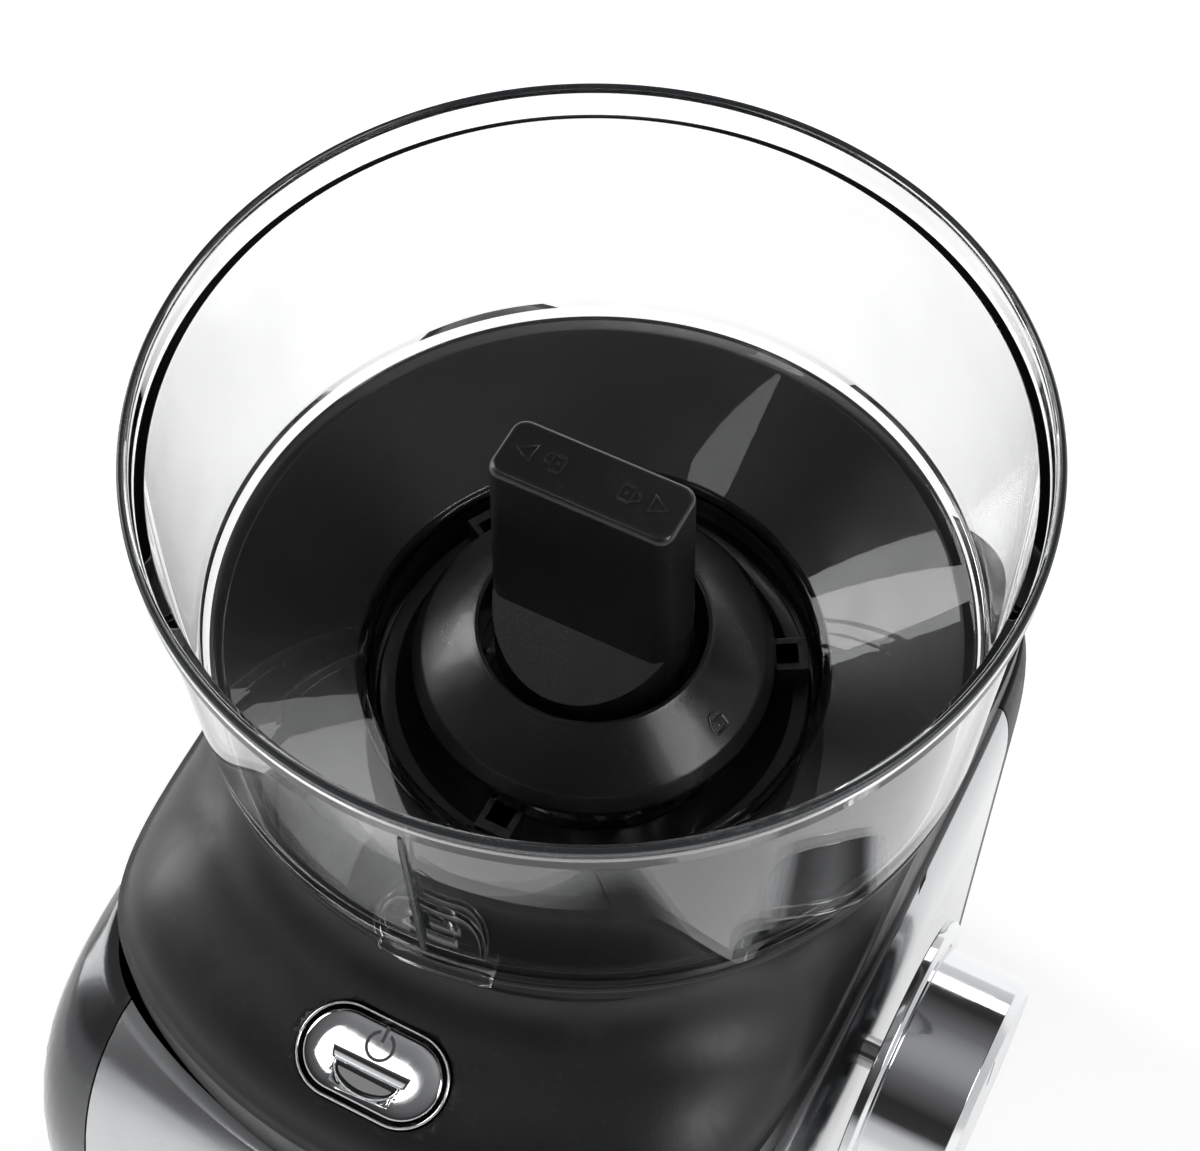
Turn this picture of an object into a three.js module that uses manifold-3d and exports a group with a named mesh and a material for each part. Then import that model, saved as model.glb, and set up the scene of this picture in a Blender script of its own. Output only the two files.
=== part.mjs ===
import * as THREE from 'three';
import { mergeVertices } from 'three/addons/utils/BufferGeometryUtils.js';
import Module from 'manifold-3d';

// Burr coffee grinder, millimetres, +Z up, front towards -Y, side dial towards +X.
// The burr axis is the working origin while the pieces are drawn.
// The whole group is moved at the end, so its bounding box stands centred on the origin.

// ---- driving dimensions -------------------------------------------------
const HOPPER_RIM_RADIUS = 75;
const HOPPER_RIM_TOP = 262;
const HOPPER_BASE_RADIUS = 70.9;
const HOPPER_BASE_Z = 204;
const HOPPER_WALL = 2.5;
const HOPPER_FLOOR_DROP = 14;
const BODY_HALF_WIDTH = 70;
const HOOD_HALF_WIDTH = 66;
const NOSE_RADIUS = 97.5;
const FRONT_DEPTH = 110;
const CORNER_POWER = 12;
const SKIN = 2.5;
const SEAM_Z = 155;
const BASE_TOP = 23.7;
const BASE_BOTTOM = 5.6;
const LEDGE_Z = 180.5;
const SHOULDER_WIDTH = 30;
const SHOULDER_DROP = 18;
const TURRET_RADIUS = 64.5;
const TURRET_TOP = 199.8;
const FLARE = 12;
const BAY_TOP = 118;
const BAY_HALF_WIDTH = 50;
const BAY_BACK = -17;
const BIN_WALL = 2;
const BURR_RADIUS = 20.2;
const BURR_BOTTOM = 158.5;
const BURR_HEIGHT = 21;
const CARRIER_RADIUS = 39.6;
const DOME_RADIUS = 33;
const KNOB_RADIUS = 17.8;
const KNOB_GAP = 2.6;
const KNOB_LENGTH = 34.4;
const KNOB_WIDTH = 13.2;
const KNOB_TOP = 248;
const KNOB_ANGLE = 0;
const DIAL_RADIUS = 24;
const DIAL_LENGTH = 17.4;
const DIAL_Y = -26;
const DIAL_Z = 142;
const DIAL_FACE_X = 76;
const BUTTON_Y = -82;
const BUTTON_Z = 178;
const BUTTON_TILT = 20;
const BUTTON_HALF_STRAIGHT = 5.9;
const BUTTON_RADIUS = 7.1;
const BUTTON_TRAVEL = 1.5;
const MOTOR_Y = 42;
const MOTOR_RADIUS = 25;
const REAR_DEPTH = MOTOR_Y + MOTOR_RADIUS + 11;
const WHEEL_MODULE = 1.5;
const WHEEL_TEETH = 36;
const WHEEL_PINION_TEETH = 11;
const FIRST_MODULE = 1;
const FIRST_TEETH = 38;
const MOTOR_TEETH = 12;
const PRESSURE_ANGLE = 25;
const FOOT_RADIUS = 8;
const FOOT_X = 50;
const FOOT_FRONT_Y = -88;
const FOOT_REAR_Y = 52;

// ---- clearances ---------------------------------------------------------
const GAP = 0.3;
const RUNNING_GAP = 0.4;
const SEAM_GAP = 0.4;
const BACKLASH = 0.3;

const wasm = await Module();
wasm.setup();

const rad = THREE.MathUtils.degToRad;

function closedMesh(geometry) {
  const bare = geometry.clone();
  for (const name of Object.keys(bare.attributes)) {
    if (name !== 'position') {
      bare.deleteAttribute(name);
    }
  }
  const merged = mergeVertices(bare, 1e-4);
  const p = merged.attributes.position;
  const tri = [];
  let volume = 0;
  const a = new THREE.Vector3();
  const b = new THREE.Vector3();
  const c = new THREE.Vector3();
  for (let i = 0; i < merged.index.count; i += 3) {
    const [u, v, w] = [0, 1, 2].map((k) => merged.index.getX(i + k));
    if (u === v || v === w || u === w) {
      continue;
    }
    tri.push(u, v, w);
    a.fromBufferAttribute(p, u);
    b.fromBufferAttribute(p, v);
    c.fromBufferAttribute(p, w);
    volume += a.dot(b.cross(c)) / 6;
  }
  if (volume < 0) {
    tri.reverse();
  }
  return new wasm.Mesh({
    numProp: 3,
    vertProperties: new Float32Array(p.array),
    triVerts: new Uint32Array(tri),
  });
}

function solid(geometry) {
  return new wasm.Manifold(closedMesh(geometry));
}

function toGeometry(manifold) {
  const mesh = manifold.getMesh();
  const geometry = new THREE.BufferGeometry();
  geometry.setAttribute('position', new THREE.BufferAttribute(new Float32Array(mesh.vertProperties), 3));
  geometry.setIndex(new THREE.BufferAttribute(new Uint32Array(mesh.triVerts), 1));
  geometry.computeVertexNormals();
  return geometry;
}

function join(first, ...rest) {
  return rest.reduce((sum, item) => sum.add(item), first);
}

function cut(first, ...rest) {
  return rest.reduce((sum, item) => sum.subtract(item), first);
}

// A profile of [radius, z] points turned about Z. Closed profiles repeat their first point.
function turned(profile, segments = 32) {
  const points = profile.map(([r, z]) => new THREE.Vector2(r, z));
  return new THREE.LatheGeometry(points, segments).rotateX(Math.PI / 2);
}

function ring(profile, segments = 32) {
  return solid(turned([...profile, profile[0]], segments));
}

function revolved(profile, segments = 32) {
  return solid(turned(profile, segments));
}

function tube(inner, outer, z0, z1, segments = 32) {
  return ring([[outer, z0], [outer, z1], [inner, z1], [inner, z0]], segments);
}

function rod(radius, z0, z1, x = 0, y = 0, segments = 16) {
  const geometry = new THREE.CylinderGeometry(radius, radius, z1 - z0, segments).rotateX(Math.PI / 2);
  return solid(geometry.translate(x, y, (z0 + z1) / 2));
}

function block(x0, x1, y0, y1, z0, z1) {
  const geometry = new THREE.BoxGeometry(x1 - x0, y1 - y0, z1 - z0);
  return solid(geometry.translate((x0 + x1) / 2, (y0 + y1) / 2, (z0 + z1) / 2));
}

function prism(shape, z0, z1, segments = 12) {
  const options = { depth: z1 - z0, bevelEnabled: false, curveSegments: segments };
  return solid(new THREE.ExtrudeGeometry(shape, options).translate(0, 0, z0));
}

function roundedRect(x0, x1, y0, y1, r) {
  const shape = new THREE.Shape();
  shape.moveTo(x0 + r, y0);
  shape.lineTo(x1 - r, y0);
  shape.absarc(x1 - r, y0 + r, r, -Math.PI / 2, 0);
  shape.lineTo(x1, y1 - r);
  shape.absarc(x1 - r, y1 - r, r, 0, Math.PI / 2);
  shape.lineTo(x0 + r, y1);
  shape.absarc(x0 + r, y1 - r, r, Math.PI / 2, Math.PI);
  shape.lineTo(x0, y0 + r);
  shape.absarc(x0 + r, y0 + r, r, Math.PI, 1.5 * Math.PI);
  return shape;
}

function stadium(halfStraight, r) {
  const shape = new THREE.Shape();
  shape.moveTo(-halfStraight, -r);
  shape.lineTo(halfStraight, -r);
  shape.absarc(halfStraight, 0, r, -Math.PI / 2, Math.PI / 2);
  shape.lineTo(-halfStraight, r);
  shape.absarc(-halfStraight, 0, r, Math.PI / 2, 1.5 * Math.PI);
  return shape;
}

function wedge(centre, halfAngle, reach, z0, z1) {
  const shape = new THREE.Shape();
  shape.moveTo(0, 0);
  for (const a of [-1, -0.5, 0, 0.5, 1]) {
    const t = rad(centre + a * halfAngle);
    shape.lineTo(reach * Math.cos(t), reach * Math.sin(t));
  }
  return prism(shape, z0, z1);
}

// Rises fast at first and then levels off.
function swell(t) {
  const u = THREE.MathUtils.clamp(t, 0, 1);
  return Math.sqrt(1 - (1 - u) * (1 - u));
}

// ---- plan outline of the body -------------------------------------------
// Radius of the outer skin from the burr axis, by direction and height.
function outline(angle, z) {
  const c = Math.abs(Math.cos(angle)) + 1e-6;
  const s = Math.sin(angle);
  const settle = swell((SEAM_Z - z) / 16);
  const flareOut = swell((SEAM_Z - z) / 50);
  const side = THREE.MathUtils.lerp(HOOD_HALF_WIDTH, BODY_HALF_WIDTH, settle) / c;
  const front = THREE.MathUtils.lerp(NOSE_RADIUS, FRONT_DEPTH / Math.max(-s, 0.05), flareOut);
  const rear = REAR_DEPTH / Math.max(s, 1e-3);
  const limits = s < 0 ? [side, front] : [side, rear, NOSE_RADIUS];
  return Math.pow(limits.reduce((sum, r) => sum + Math.pow(r, -CORNER_POWER), 0), -1 / CORNER_POWER);
}

// A closed section carried round the plan outline.
// Each row is [inset from the outline or null, z, fixed radius, extra height function].
function skinLoft(rows, segments = 52) {
  const loop = rows[0][2] === 0 ? rows : [...rows, rows[0]];
  const points = loop.map((_, i) => new THREE.Vector2(i + 1, 0));
  const geometry = new THREE.LatheGeometry(points, segments);
  const p = geometry.attributes.position;
  for (let i = 0; i < p.count; i += 1) {
    const [inset, z, fixed] = loop[i % loop.length];
    const angle = (Math.floor(i / loop.length) % segments) * ((2 * Math.PI) / segments);
    const r = inset === null ? fixed : outline(angle, z) - inset;
    p.setXYZ(i, r * Math.cos(angle), r * Math.sin(angle), z);
  }
  return solid(geometry);
}

function skinBand(inner, outer, z0, z1) {
  const rows = [];
  const steps = [z0, ...[119, 133, 143, 150].filter((z) => z > z0 && z < z1), z1];
  for (const z of steps) {
    rows.push([outer, z]);
  }
  for (const z of [...steps].reverse()) {
    rows.push([inner, z]);
  }
  return skinLoft(rows);
}

// ---- hood ---------------------------------------------------------------
function hoodHeight(angle, r, edge) {
  const step = 0.01;
  const slope = (outline(angle + step, SEAM_Z) - outline(angle - step, SEAM_Z)) / (2 * step * edge);
  const inside = (edge - r) / Math.sqrt(1 + slope * slope);
  const s = THREE.MathUtils.clamp(1 - inside / SHOULDER_WIDTH, 0, 0.97);
  const reach = THREE.MathUtils.clamp(TURRET_RADIUS + FLARE - r, 0, FLARE);
  const rise = FLARE - Math.sqrt(FLARE * FLARE - reach * reach);
  return LEDGE_Z - SHOULDER_DROP * (1 - Math.sqrt(1 - s * s)) + rise;
}

function hoodShell() {
  const segments = 48;
  const outerSteps = [0, 0.07, 0.17, 0.3, 0.5, 0.72, 0.88, 0.96, 1];
  const innerSteps = [1, 0.6, 0.2];
  const column = (angle) => {
    const edge = outline(angle, SEAM_Z);
    const place = (t, inset) => {
      const r = TURRET_RADIUS + (edge - TURRET_RADIUS) * t;
      const lowered = hoodHeight(angle, r, edge) - inset;
      return [r - inset * Math.max(t, 0.9), lowered];
    };
    return [
      [TURRET_RADIUS, TURRET_TOP],
      ...outerSteps.map((t) => place(t, 0)),
      [edge, SEAM_Z],
      [edge - SKIN, SEAM_Z],
      ...innerSteps.map((t) => place(t, SKIN)),
      [TURRET_RADIUS - SKIN, TURRET_TOP - SKIN - 0.4],
      [46.2, 186],
      [46.2, 188.6],
      [TURRET_RADIUS - 1.2, TURRET_TOP],
    ];
  };
  const rows = column(0).length;
  const points = Array.from({ length: rows + 1 }, (_, i) => new THREE.Vector2(i + 1, 0));
  const geometry = new THREE.LatheGeometry(points, segments);
  const p = geometry.attributes.position;
  for (let i = 0; i < p.count; i += 1) {
    const angle = (Math.floor(i / (rows + 1)) % segments) * ((2 * Math.PI) / segments);
    const [r, z] = column(angle)[(i % (rows + 1)) % rows];
    p.setXYZ(i, r * Math.cos(angle), r * Math.sin(angle), z);
  }
  return solid(geometry);
}

// ---- gears --------------------------------------------------------------
function gearShape(module, teeth, phase, bore) {
  const pitch = (module * teeth) / 2;
  const base = pitch * Math.cos(rad(PRESSURE_ANGLE));
  const tip = pitch + 0.9 * module;
  const root = pitch - 1.15 * module;
  const involute = (r) => {
    const a = Math.acos(Math.min(1, base / r));
    return Math.tan(a) - a;
  };
  const half = Math.PI / (2 * teeth) - BACKLASH / (2 * pitch) + involute(pitch);
  const foot = Math.max(root, base);
  const flank = [0, 1].map((t) => foot + (tip - foot) * t);
  const shape = new THREE.Shape();
  for (let i = 0; i < teeth; i += 1) {
    const middle = rad(phase) + (i * 2 * Math.PI) / teeth;
    const lead = flank.map((r) => [r, middle - half + involute(r)]);
    const trail = [...flank].reverse().map((r) => [r, middle + half - involute(r)]);
    const footAngle = half - involute(foot);
    const all = [[root, middle - footAngle], ...lead, ...trail, [root, middle + footAngle]];
    for (const [r, a] of all) {
      const [x, y] = [r * Math.cos(a), r * Math.sin(a)];
      if (shape.curves.length === 0 && i === 0 && r === root && a < middle) {
        shape.moveTo(x, y);
      } else {
        shape.lineTo(x, y);
      }
    }
  }
  const hole = new THREE.Path();
  hole.absarc(0, 0, bore, 0, 2 * Math.PI, true);
  shape.holes.push(hole);
  return shape;
}

// ---- materials ----------------------------------------------------------
const finish = (color, roughness, metalness, opacity = 1) =>
  new THREE.MeshStandardMaterial({ color, roughness, metalness, opacity, transparent: opacity < 1 });
const BLACK = finish(0x202022, 0.42, 0);
const KNOB_BLACK = finish(0x17171a, 0.34, 0);
const CLEAR = finish(0xe8edf0, 0.06, 0, 0.28);
const SMOKE = finish(0x55585c, 0.1, 0, 0.5);
const SILVER = finish(0xb8babc, 0.32, 0.85);
const CHROME = finish(0xd9dbdd, 0.08, 1);
const STEEL = finish(0x9a9c9e, 0.35, 1);
const NYLON = finish(0xe3e0d4, 0.5, 0);
const RUBBER = finish(0x1b1b1c, 0.8, 0);
const BRASS = finish(0xb58b4a, 0.3, 1);
const COPPER = finish(0xa8623a, 0.4, 1);
const BOARD = finish(0x1f5b3a, 0.5, 0.1);
const LENS = finish(0x16191c, 0.12, 0);
const GREY = finish(0x4a4c4f, 0.5, 0.1);

const grinder = new THREE.Group();

function add(name, shape, material, position = [0, 0, 0], rotation = [0, 0, 0], parent = grinder) {
  const geometry = shape.isBufferGeometry ? shape : toGeometry(shape);
  const mesh = new THREE.Mesh(geometry, material);
  mesh.name = name;
  mesh.position.set(...position);
  mesh.rotation.set(...rotation);
  parent.add(mesh);
  return mesh;
}

// ---- base and feet ------------------------------------------------------
const feet = [
  [-FOOT_X, FOOT_FRONT_Y],
  [FOOT_X, FOOT_FRONT_Y],
  [-FOOT_X, FOOT_REAR_Y],
  [FOOT_X, FOOT_REAR_Y],
];
let base = skinLoft([
  [null, BASE_BOTTOM, 0],
  [5, BASE_BOTTOM],
  [1.5, BASE_BOTTOM + 3],
  [0.4, BASE_BOTTOM + 6],
  [0.4, BASE_TOP],
  [3.2, BASE_TOP],
  [3.2, BASE_BOTTOM + 3.6],
  [null, BASE_BOTTOM + 3.6, 0],
]);
for (const [x, y] of feet) {
  base = cut(base, rod(FOOT_RADIUS + GAP, BASE_BOTTOM - 1, BASE_BOTTOM + 1.4, x, y));
}
add('base_plate', base, BLACK);
const footShape = revolved([
  [0, 0], [FOOT_RADIUS - 1, 0], [FOOT_RADIUS, 1], [FOOT_RADIUS, BASE_BOTTOM + 1.1], [0, BASE_BOTTOM + 1.1],
], 20);
feet.forEach(([x, y], i) => add(`rubber_foot_${i + 1}`, footShape, RUBBER, [x, y, 0]));

// ---- housing ------------------------------------------------------------
const SKIN_BOTTOM = BASE_TOP + SEAM_GAP;
const SKIN_TOP = SEAM_Z - SEAM_GAP;
const PANEL_REAR = 46;
const FRONT_HALF = 52;
const WALL_IN = SKIN + 2.2;
const everywhere = 200;
const rearHalf = block(-everywhere, everywhere, PANEL_REAR + SEAM_GAP, everywhere, 0, everywhere);
const frontHalf = block(-everywhere, everywhere, -everywhere, PANEL_REAR, 0, everywhere);
const frontStrip = block(-FRONT_HALF, FRONT_HALF, -everywhere, 0, 0, everywhere);
const frontStripWide = block(-FRONT_HALF - SEAM_GAP, FRONT_HALF + SEAM_GAP, -everywhere, 0, 0, everywhere);

let housing = join(
  skinBand(WALL_IN + SKIN, WALL_IN, SKIN_BOTTOM, SKIN_TOP).intersect(block(-200, 200, -200, 200, 0, SKIN_TOP - 3)),
  skinBand(WALL_IN + SKIN, 0, SKIN_BOTTOM, SKIN_TOP).intersect(rearHalf),
);
housing = cut(
  housing,
  block(-BAY_HALF_WIDTH - GAP, BAY_HALF_WIDTH + GAP, -everywhere, -60, 0, BAY_TOP + GAP),
  rod(9, 55, 80).rotate([0, 90, 0]).translate([0, DIAL_Y, DIAL_Z]),
  rod(5.2, 60, 90).rotate([-90, 0, 0]).translate([0, 0, 38]),
);
for (let i = 0; i < 7; i += 1) {
  const z = 60 + i * 8;
  housing = cut(housing, block(-24, 24, 66, 90, z, z + 3.2));
}
add('main_housing', housing, BLACK);

const skin = skinBand(SKIN, 0, SKIN_BOTTOM, SKIN_TOP);
const sideSkin = cut(skin.intersect(frontHalf), frontStripWide);
const leftHalf = block(-everywhere, 0, -everywhere, everywhere, 0, everywhere);
const rightHalf = block(0, everywhere, -everywhere, everywhere, 0, everywhere);
add('side_panel_left', sideSkin.intersect(leftHalf), SILVER);
const bossBack = BODY_HALF_WIDTH - SKIN;
const boss = ring([
  [7, bossBack], [38, bossBack], [36, BODY_HALF_WIDTH + 0.2], [32.6, BODY_HALF_WIDTH + 1.4],
  [31, BODY_HALF_WIDTH + 3.4], [30.4, DIAL_FACE_X - 1.4], [29.8, DIAL_FACE_X - 0.5], [29.1, DIAL_FACE_X - 0.5],
  [29.1, DIAL_FACE_X - 1.6], [7, DIAL_FACE_X - 1.6],
]).rotate([0, 90, 0]).translate([0, DIAL_Y, DIAL_Z]);
const shaftHole = rod(5, 50, 90).rotate([0, 90, 0]).translate([0, DIAL_Y, DIAL_Z]);
const bossLow = boss.intersect(block(bossBack, everywhere, -everywhere, PANEL_REAR, SKIN_BOTTOM, SKIN_TOP));
const bossCollar = rod(31.2, 60, 90, 0, 0, 40).rotate([0, 90, 0]).translate([0, DIAL_Y, DIAL_Z]);
const besideHood = block(HOOD_HALF_WIDTH + SEAM_GAP, everywhere, -everywhere, PANEL_REAR, SKIN_TOP - 1, 190);
const bossHigh = boss.intersect(bossCollar).intersect(besideHood);
add('side_panel_right', cut(join(sideSkin.intersect(rightHalf), bossLow, bossHigh), shaftHole), SILVER);
add('front_panel', skin.intersect(frontStrip).intersect(block(-60, 60, -150, 0, BAY_TOP + 0.6, 160)), SILVER);

// ---- grounds bay, bin and chute -----------------------------------------
const CHUTE_TOP_Y = -34;
const CHUTE_BOTTOM_Y = -50;
const CHUTE_TOP_Z = 157;
const BAY_FLOOR = SKIN_BOTTOM + 0.4;
const BAY_FRONT = -outline(-Math.PI / 2, BAY_TOP) + SKIN + 0.67;
let bay = cut(
  block(-BAY_HALF_WIDTH, BAY_HALF_WIDTH, BAY_FRONT, BAY_BACK, BAY_FLOOR, BAY_TOP),
  block(-BAY_HALF_WIDTH + 1.8, BAY_HALF_WIDTH - 1.8, BAY_FRONT - 13.6, BAY_BACK - 1.8, BAY_FLOOR + 1.8, BAY_TOP - 1.8),
  rod(11, BAY_TOP - 5, BAY_TOP + 5, 0, CHUTE_BOTTOM_Y),
);
add('grounds_bay', bay, BLACK);

const BIN_HALF = BAY_HALF_WIDTH - 1.8 - 0.6;
const BIN_BOTTOM = BAY_FLOOR + 1.8 + GAP;
const BIN_TOP = BAY_TOP - 4.4;
const BIN_BACK = BAY_BACK - 1.8 - 1.4;
const binFront = skinBand(SKIN, 0.2, SKIN_BOTTOM + 0.4, 119.4)
  .intersect(block(-FRONT_HALF + GAP, FRONT_HALF - GAP, -everywhere, 0, 0, BAY_TOP));
const bin = cut(
  join(prism(roundedRect(-BIN_HALF, BIN_HALF, BAY_FRONT - 1.6, BIN_BACK, 6), BIN_BOTTOM, BIN_TOP, 4), binFront),
  prism(
    roundedRect(-BIN_HALF + BIN_WALL, BIN_HALF - BIN_WALL, BAY_FRONT + 0.4, BIN_BACK - BIN_WALL, 4.5),
    BIN_BOTTOM + BIN_WALL, 140, 4,
  ),
);
add('grounds_bin', bin, SMOKE);
const cap = cut(
  prism(roundedRect(-BIN_HALF + 0.2, BIN_HALF - 0.2, BAY_FRONT, BIN_BACK - 0.2, 6), BIN_TOP + GAP, BIN_TOP + 2.1, 4),
  rod(13, BIN_TOP - 5, BIN_TOP + 9, 0, CHUTE_BOTTOM_Y),
);
add('bin_cap', cap, BLACK);
const grip = cut(
  prism(roundedRect(-24, 24, -10, 0, 4), 0, 16, 6),
  prism(roundedRect(-21.5, 21.5, -7.8, 6, 3), -1, 13.6, 6),
);
const gripRoom = block(-40, 40, -everywhere, -FRONT_DEPTH - 0.1, 0, 200);
add('bin_grip', grip.translate([0, -FRONT_DEPTH - 0.1, 86]).intersect(gripRoom), CHROME);

const chuteSide = (inset, extra) => {
  const shape = new THREE.Shape();
  const half = 7 - inset;
  shape.moveTo(CHUTE_BOTTOM_Y - half, BAY_TOP + 0.4 - extra);
  shape.lineTo(CHUTE_BOTTOM_Y + half, BAY_TOP + 0.4 - extra);
  shape.lineTo(CHUTE_TOP_Y + half, CHUTE_TOP_Z - 12 - inset);
  shape.lineTo(CHUTE_TOP_Y + half, CHUTE_TOP_Z - inset);
  shape.lineTo(CHUTE_TOP_Y - half, CHUTE_TOP_Z - inset);
  return shape;
};
const acrossX = (shape, half) => {
  const options = { depth: 2 * half, bevelEnabled: false };
  const geometry = new THREE.ExtrudeGeometry(shape, options);
  return solid(geometry.rotateX(Math.PI / 2).rotateZ(Math.PI / 2).translate(-half, 0, 0));
};

// ---- burr chamber -------------------------------------------------------
const CHAMBER_RADIUS = 34;
const CHAMBER_BOTTOM = 146.2;
const CHAMBER_TOP = 171;
const outletCut = block(-9, 9, -60, -20, CHAMBER_BOTTOM + 2.6, CHUTE_TOP_Z - 1.4);
const chamber = cut(
  revolved([
    [0, CHAMBER_BOTTOM], [CHAMBER_RADIUS, CHAMBER_BOTTOM], [CHAMBER_RADIUS, CHAMBER_TOP],
    [30.9, CHAMBER_TOP], [30.9, CHAMBER_BOTTOM + 2.6], [0, CHAMBER_BOTTOM + 2.6],
  ]),
  rod(8.4, 140, 150),
  outletCut,
);
add('burr_chamber', chamber, BLACK);
const chuteRoom = join(
  rod(CHAMBER_RADIUS + GAP, CHAMBER_BOTTOM - GAP, 180, 0, 0, 32),
  block(-20, 20, -29 - GAP, 0, 140, CHAMBER_BOTTOM),
);
const chute = cut(acrossX(chuteSide(0, 0), 11), chuteRoom, acrossX(chuteSide(1.6, 4), 9.4),
  block(-9.4, 9.4, -40, -20, CHAMBER_BOTTOM + 2.6, CHUTE_TOP_Z - 1.6));
add('grounds_chute', chute, GREY);

// ---- burrs --------------------------------------------------------------
const BURR_TOP = BURR_BOTTOM + BURR_HEIGHT;
const RIDGE_COLUMNS = 54;
const coneProfile = [[0, 0], [1, 0], [1, 0.16], [0.9, 0.4], [0.68, 0.75], [0.46, 1], [0, 1]];
const coneGeometry = new THREE.LatheGeometry(
  coneProfile.map(([r, t]) => new THREE.Vector2(r * BURR_RADIUS, t * BURR_HEIGHT)), RIDGE_COLUMNS).rotateX(Math.PI / 2);
const ridged = coneGeometry.attributes.position;
for (let i = 0; i < ridged.count; i += 1) {
  const [x, y, z] = [ridged.getX(i), ridged.getY(i), ridged.getZ(i)];
  const column = Math.floor(i / coneProfile.length) % RIDGE_COLUMNS;
  const depth = column % 3 === 0 ? 0.88 : 1;
  const turn = (-0.9 * z) / BURR_HEIGHT;
  const r = Math.hypot(x, y) * depth;
  const a = (column * 2 * Math.PI) / RIDGE_COLUMNS + turn;
  ridged.setXYZ(i, r * Math.cos(a), r * Math.sin(a), z);
}
const coneBurr = cut(solid(coneGeometry), rod(4 + GAP, -1, BURR_HEIGHT + 1));
add('cone_burr', coneBurr, STEEL, [0, 0, BURR_BOTTOM]);
let ringBurr = ring([
  [27, BURR_BOTTOM - 0.5], [27, BURR_BOTTOM + 17.5], [25.2, BURR_BOTTOM + 17.5], [23.6, BURR_BOTTOM + 9],
  [BURR_RADIUS + 0.7, BURR_BOTTOM + 3.4], [BURR_RADIUS + 0.7, BURR_BOTTOM - 0.5],
], 36);
for (let i = 0; i < 12; i += 1) {
  const groove = block(-0.8, 0.8, BURR_RADIUS - 2, 24.4, BURR_BOTTOM + 2.5, BURR_BOTTOM + 20);
  ringBurr = cut(ringBurr, groove.rotate([0, 0, i * 30]));
}
add('ring_burr', ringBurr, STEEL);
add('burr_nut', cut(rod(6.4, 0, 3.8, 0, 0, 6), rod(3.3, -1, 3.2)), STEEL, [0, 0, BURR_TOP + GAP]);
let sweeper = join(rod(10, 0, 6), rod(26, 0, 1.6, 0, 0, 36));
for (let i = 0; i < 4; i += 1) {
  sweeper = join(sweeper, block(8, 29, -1.2, 1.2, 0, 6).rotate([0, 0, i * 90]));
}
add('sweeper', cut(sweeper, rod(4 + GAP, -1, 12)), NYLON, [0, 0, CHAMBER_BOTTOM + 3.4]);

// ---- burr carrier, dome and lock knob -----------------------------------
const carrierRing = ring([
  [CARRIER_RADIUS, 184.6], [CARRIER_RADIUS, 177], [30.3, 172], [30.3, BURR_BOTTOM - 2.4],
  [27.3, BURR_BOTTOM - 2.4], [27.3, BURR_BOTTOM + 18], [36.6, 184.6],
]);
const HUB_TOP = 192.7;
const DOME_HOLE = KNOB_RADIUS + KNOB_GAP;
const domeCover = ring([
  [DOME_RADIUS, 193], [DOME_RADIUS, 194], [31.2, 196.4], [25.6, 201], [21.6, 203.6],
  [DOME_HOLE, 204.2], [DOME_HOLE, HUB_TOP + GAP], [DOME_HOLE + 2, HUB_TOP + GAP], [DOME_HOLE + 2, 199.6],
  [31.4, 193],
]);
// Three spokes carry the dome above the ring, so beans fall in under its skirt.
const carrierRim = rod(CARRIER_RADIUS, 160, 200, 0, 0, 32);
let carrier = join(carrierRing, tube(DOME_HOLE, DOME_HOLE + 2, 186.5, HUB_TOP));
for (let i = 0; i < 3; i += 1) {
  const spoke = join(block(21, 37.5, -2.4, 2.4, 186.5, 190.5), block(32, 50, -3.4, 3.4, 182, 190.5));
  carrier = join(carrier, spoke.intersect(carrierRim).rotate([0, 0, 30 + i * 120]));
}
add('burr_carrier', carrier, BLACK);
add('dome_cover', domeCover, BLACK);
const bladeOptions = { depth: 1, bevelEnabled: false, curveSegments: 4 };
const bladeShape = roundedRect(-KNOB_LENGTH / 2, KNOB_LENGTH / 2, -KNOB_WIDTH / 2, KNOB_WIDTH / 2, 3);
const bladeHeights = [198, KNOB_TOP - 2.2, KNOB_TOP - 0.7, KNOB_TOP];
const bladeInsets = [-0.4, 0.3, 0.6, 1.5];
const blade = bladeHeights.slice(1).map((z, i) => {
  const geometry = new THREE.ExtrudeGeometry(bladeShape, bladeOptions);
  const p = geometry.attributes.position;
  for (let k = 0; k < p.count; k += 1) {
    const top = p.getZ(k) > 0.5;
    const inset = top ? bladeInsets[i + 1] : bladeInsets[i];
    const height = top ? z : bladeHeights[i];
    const sx = 1 - (2 * inset) / KNOB_LENGTH;
    const sy = 1 - (2 * inset) / KNOB_WIDTH;
    p.setXYZ(k, p.getX(k) * sx, p.getY(k) * sy, height);
  }
  return solid(geometry);
}).reduce((sum, item) => sum.add(item));
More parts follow.
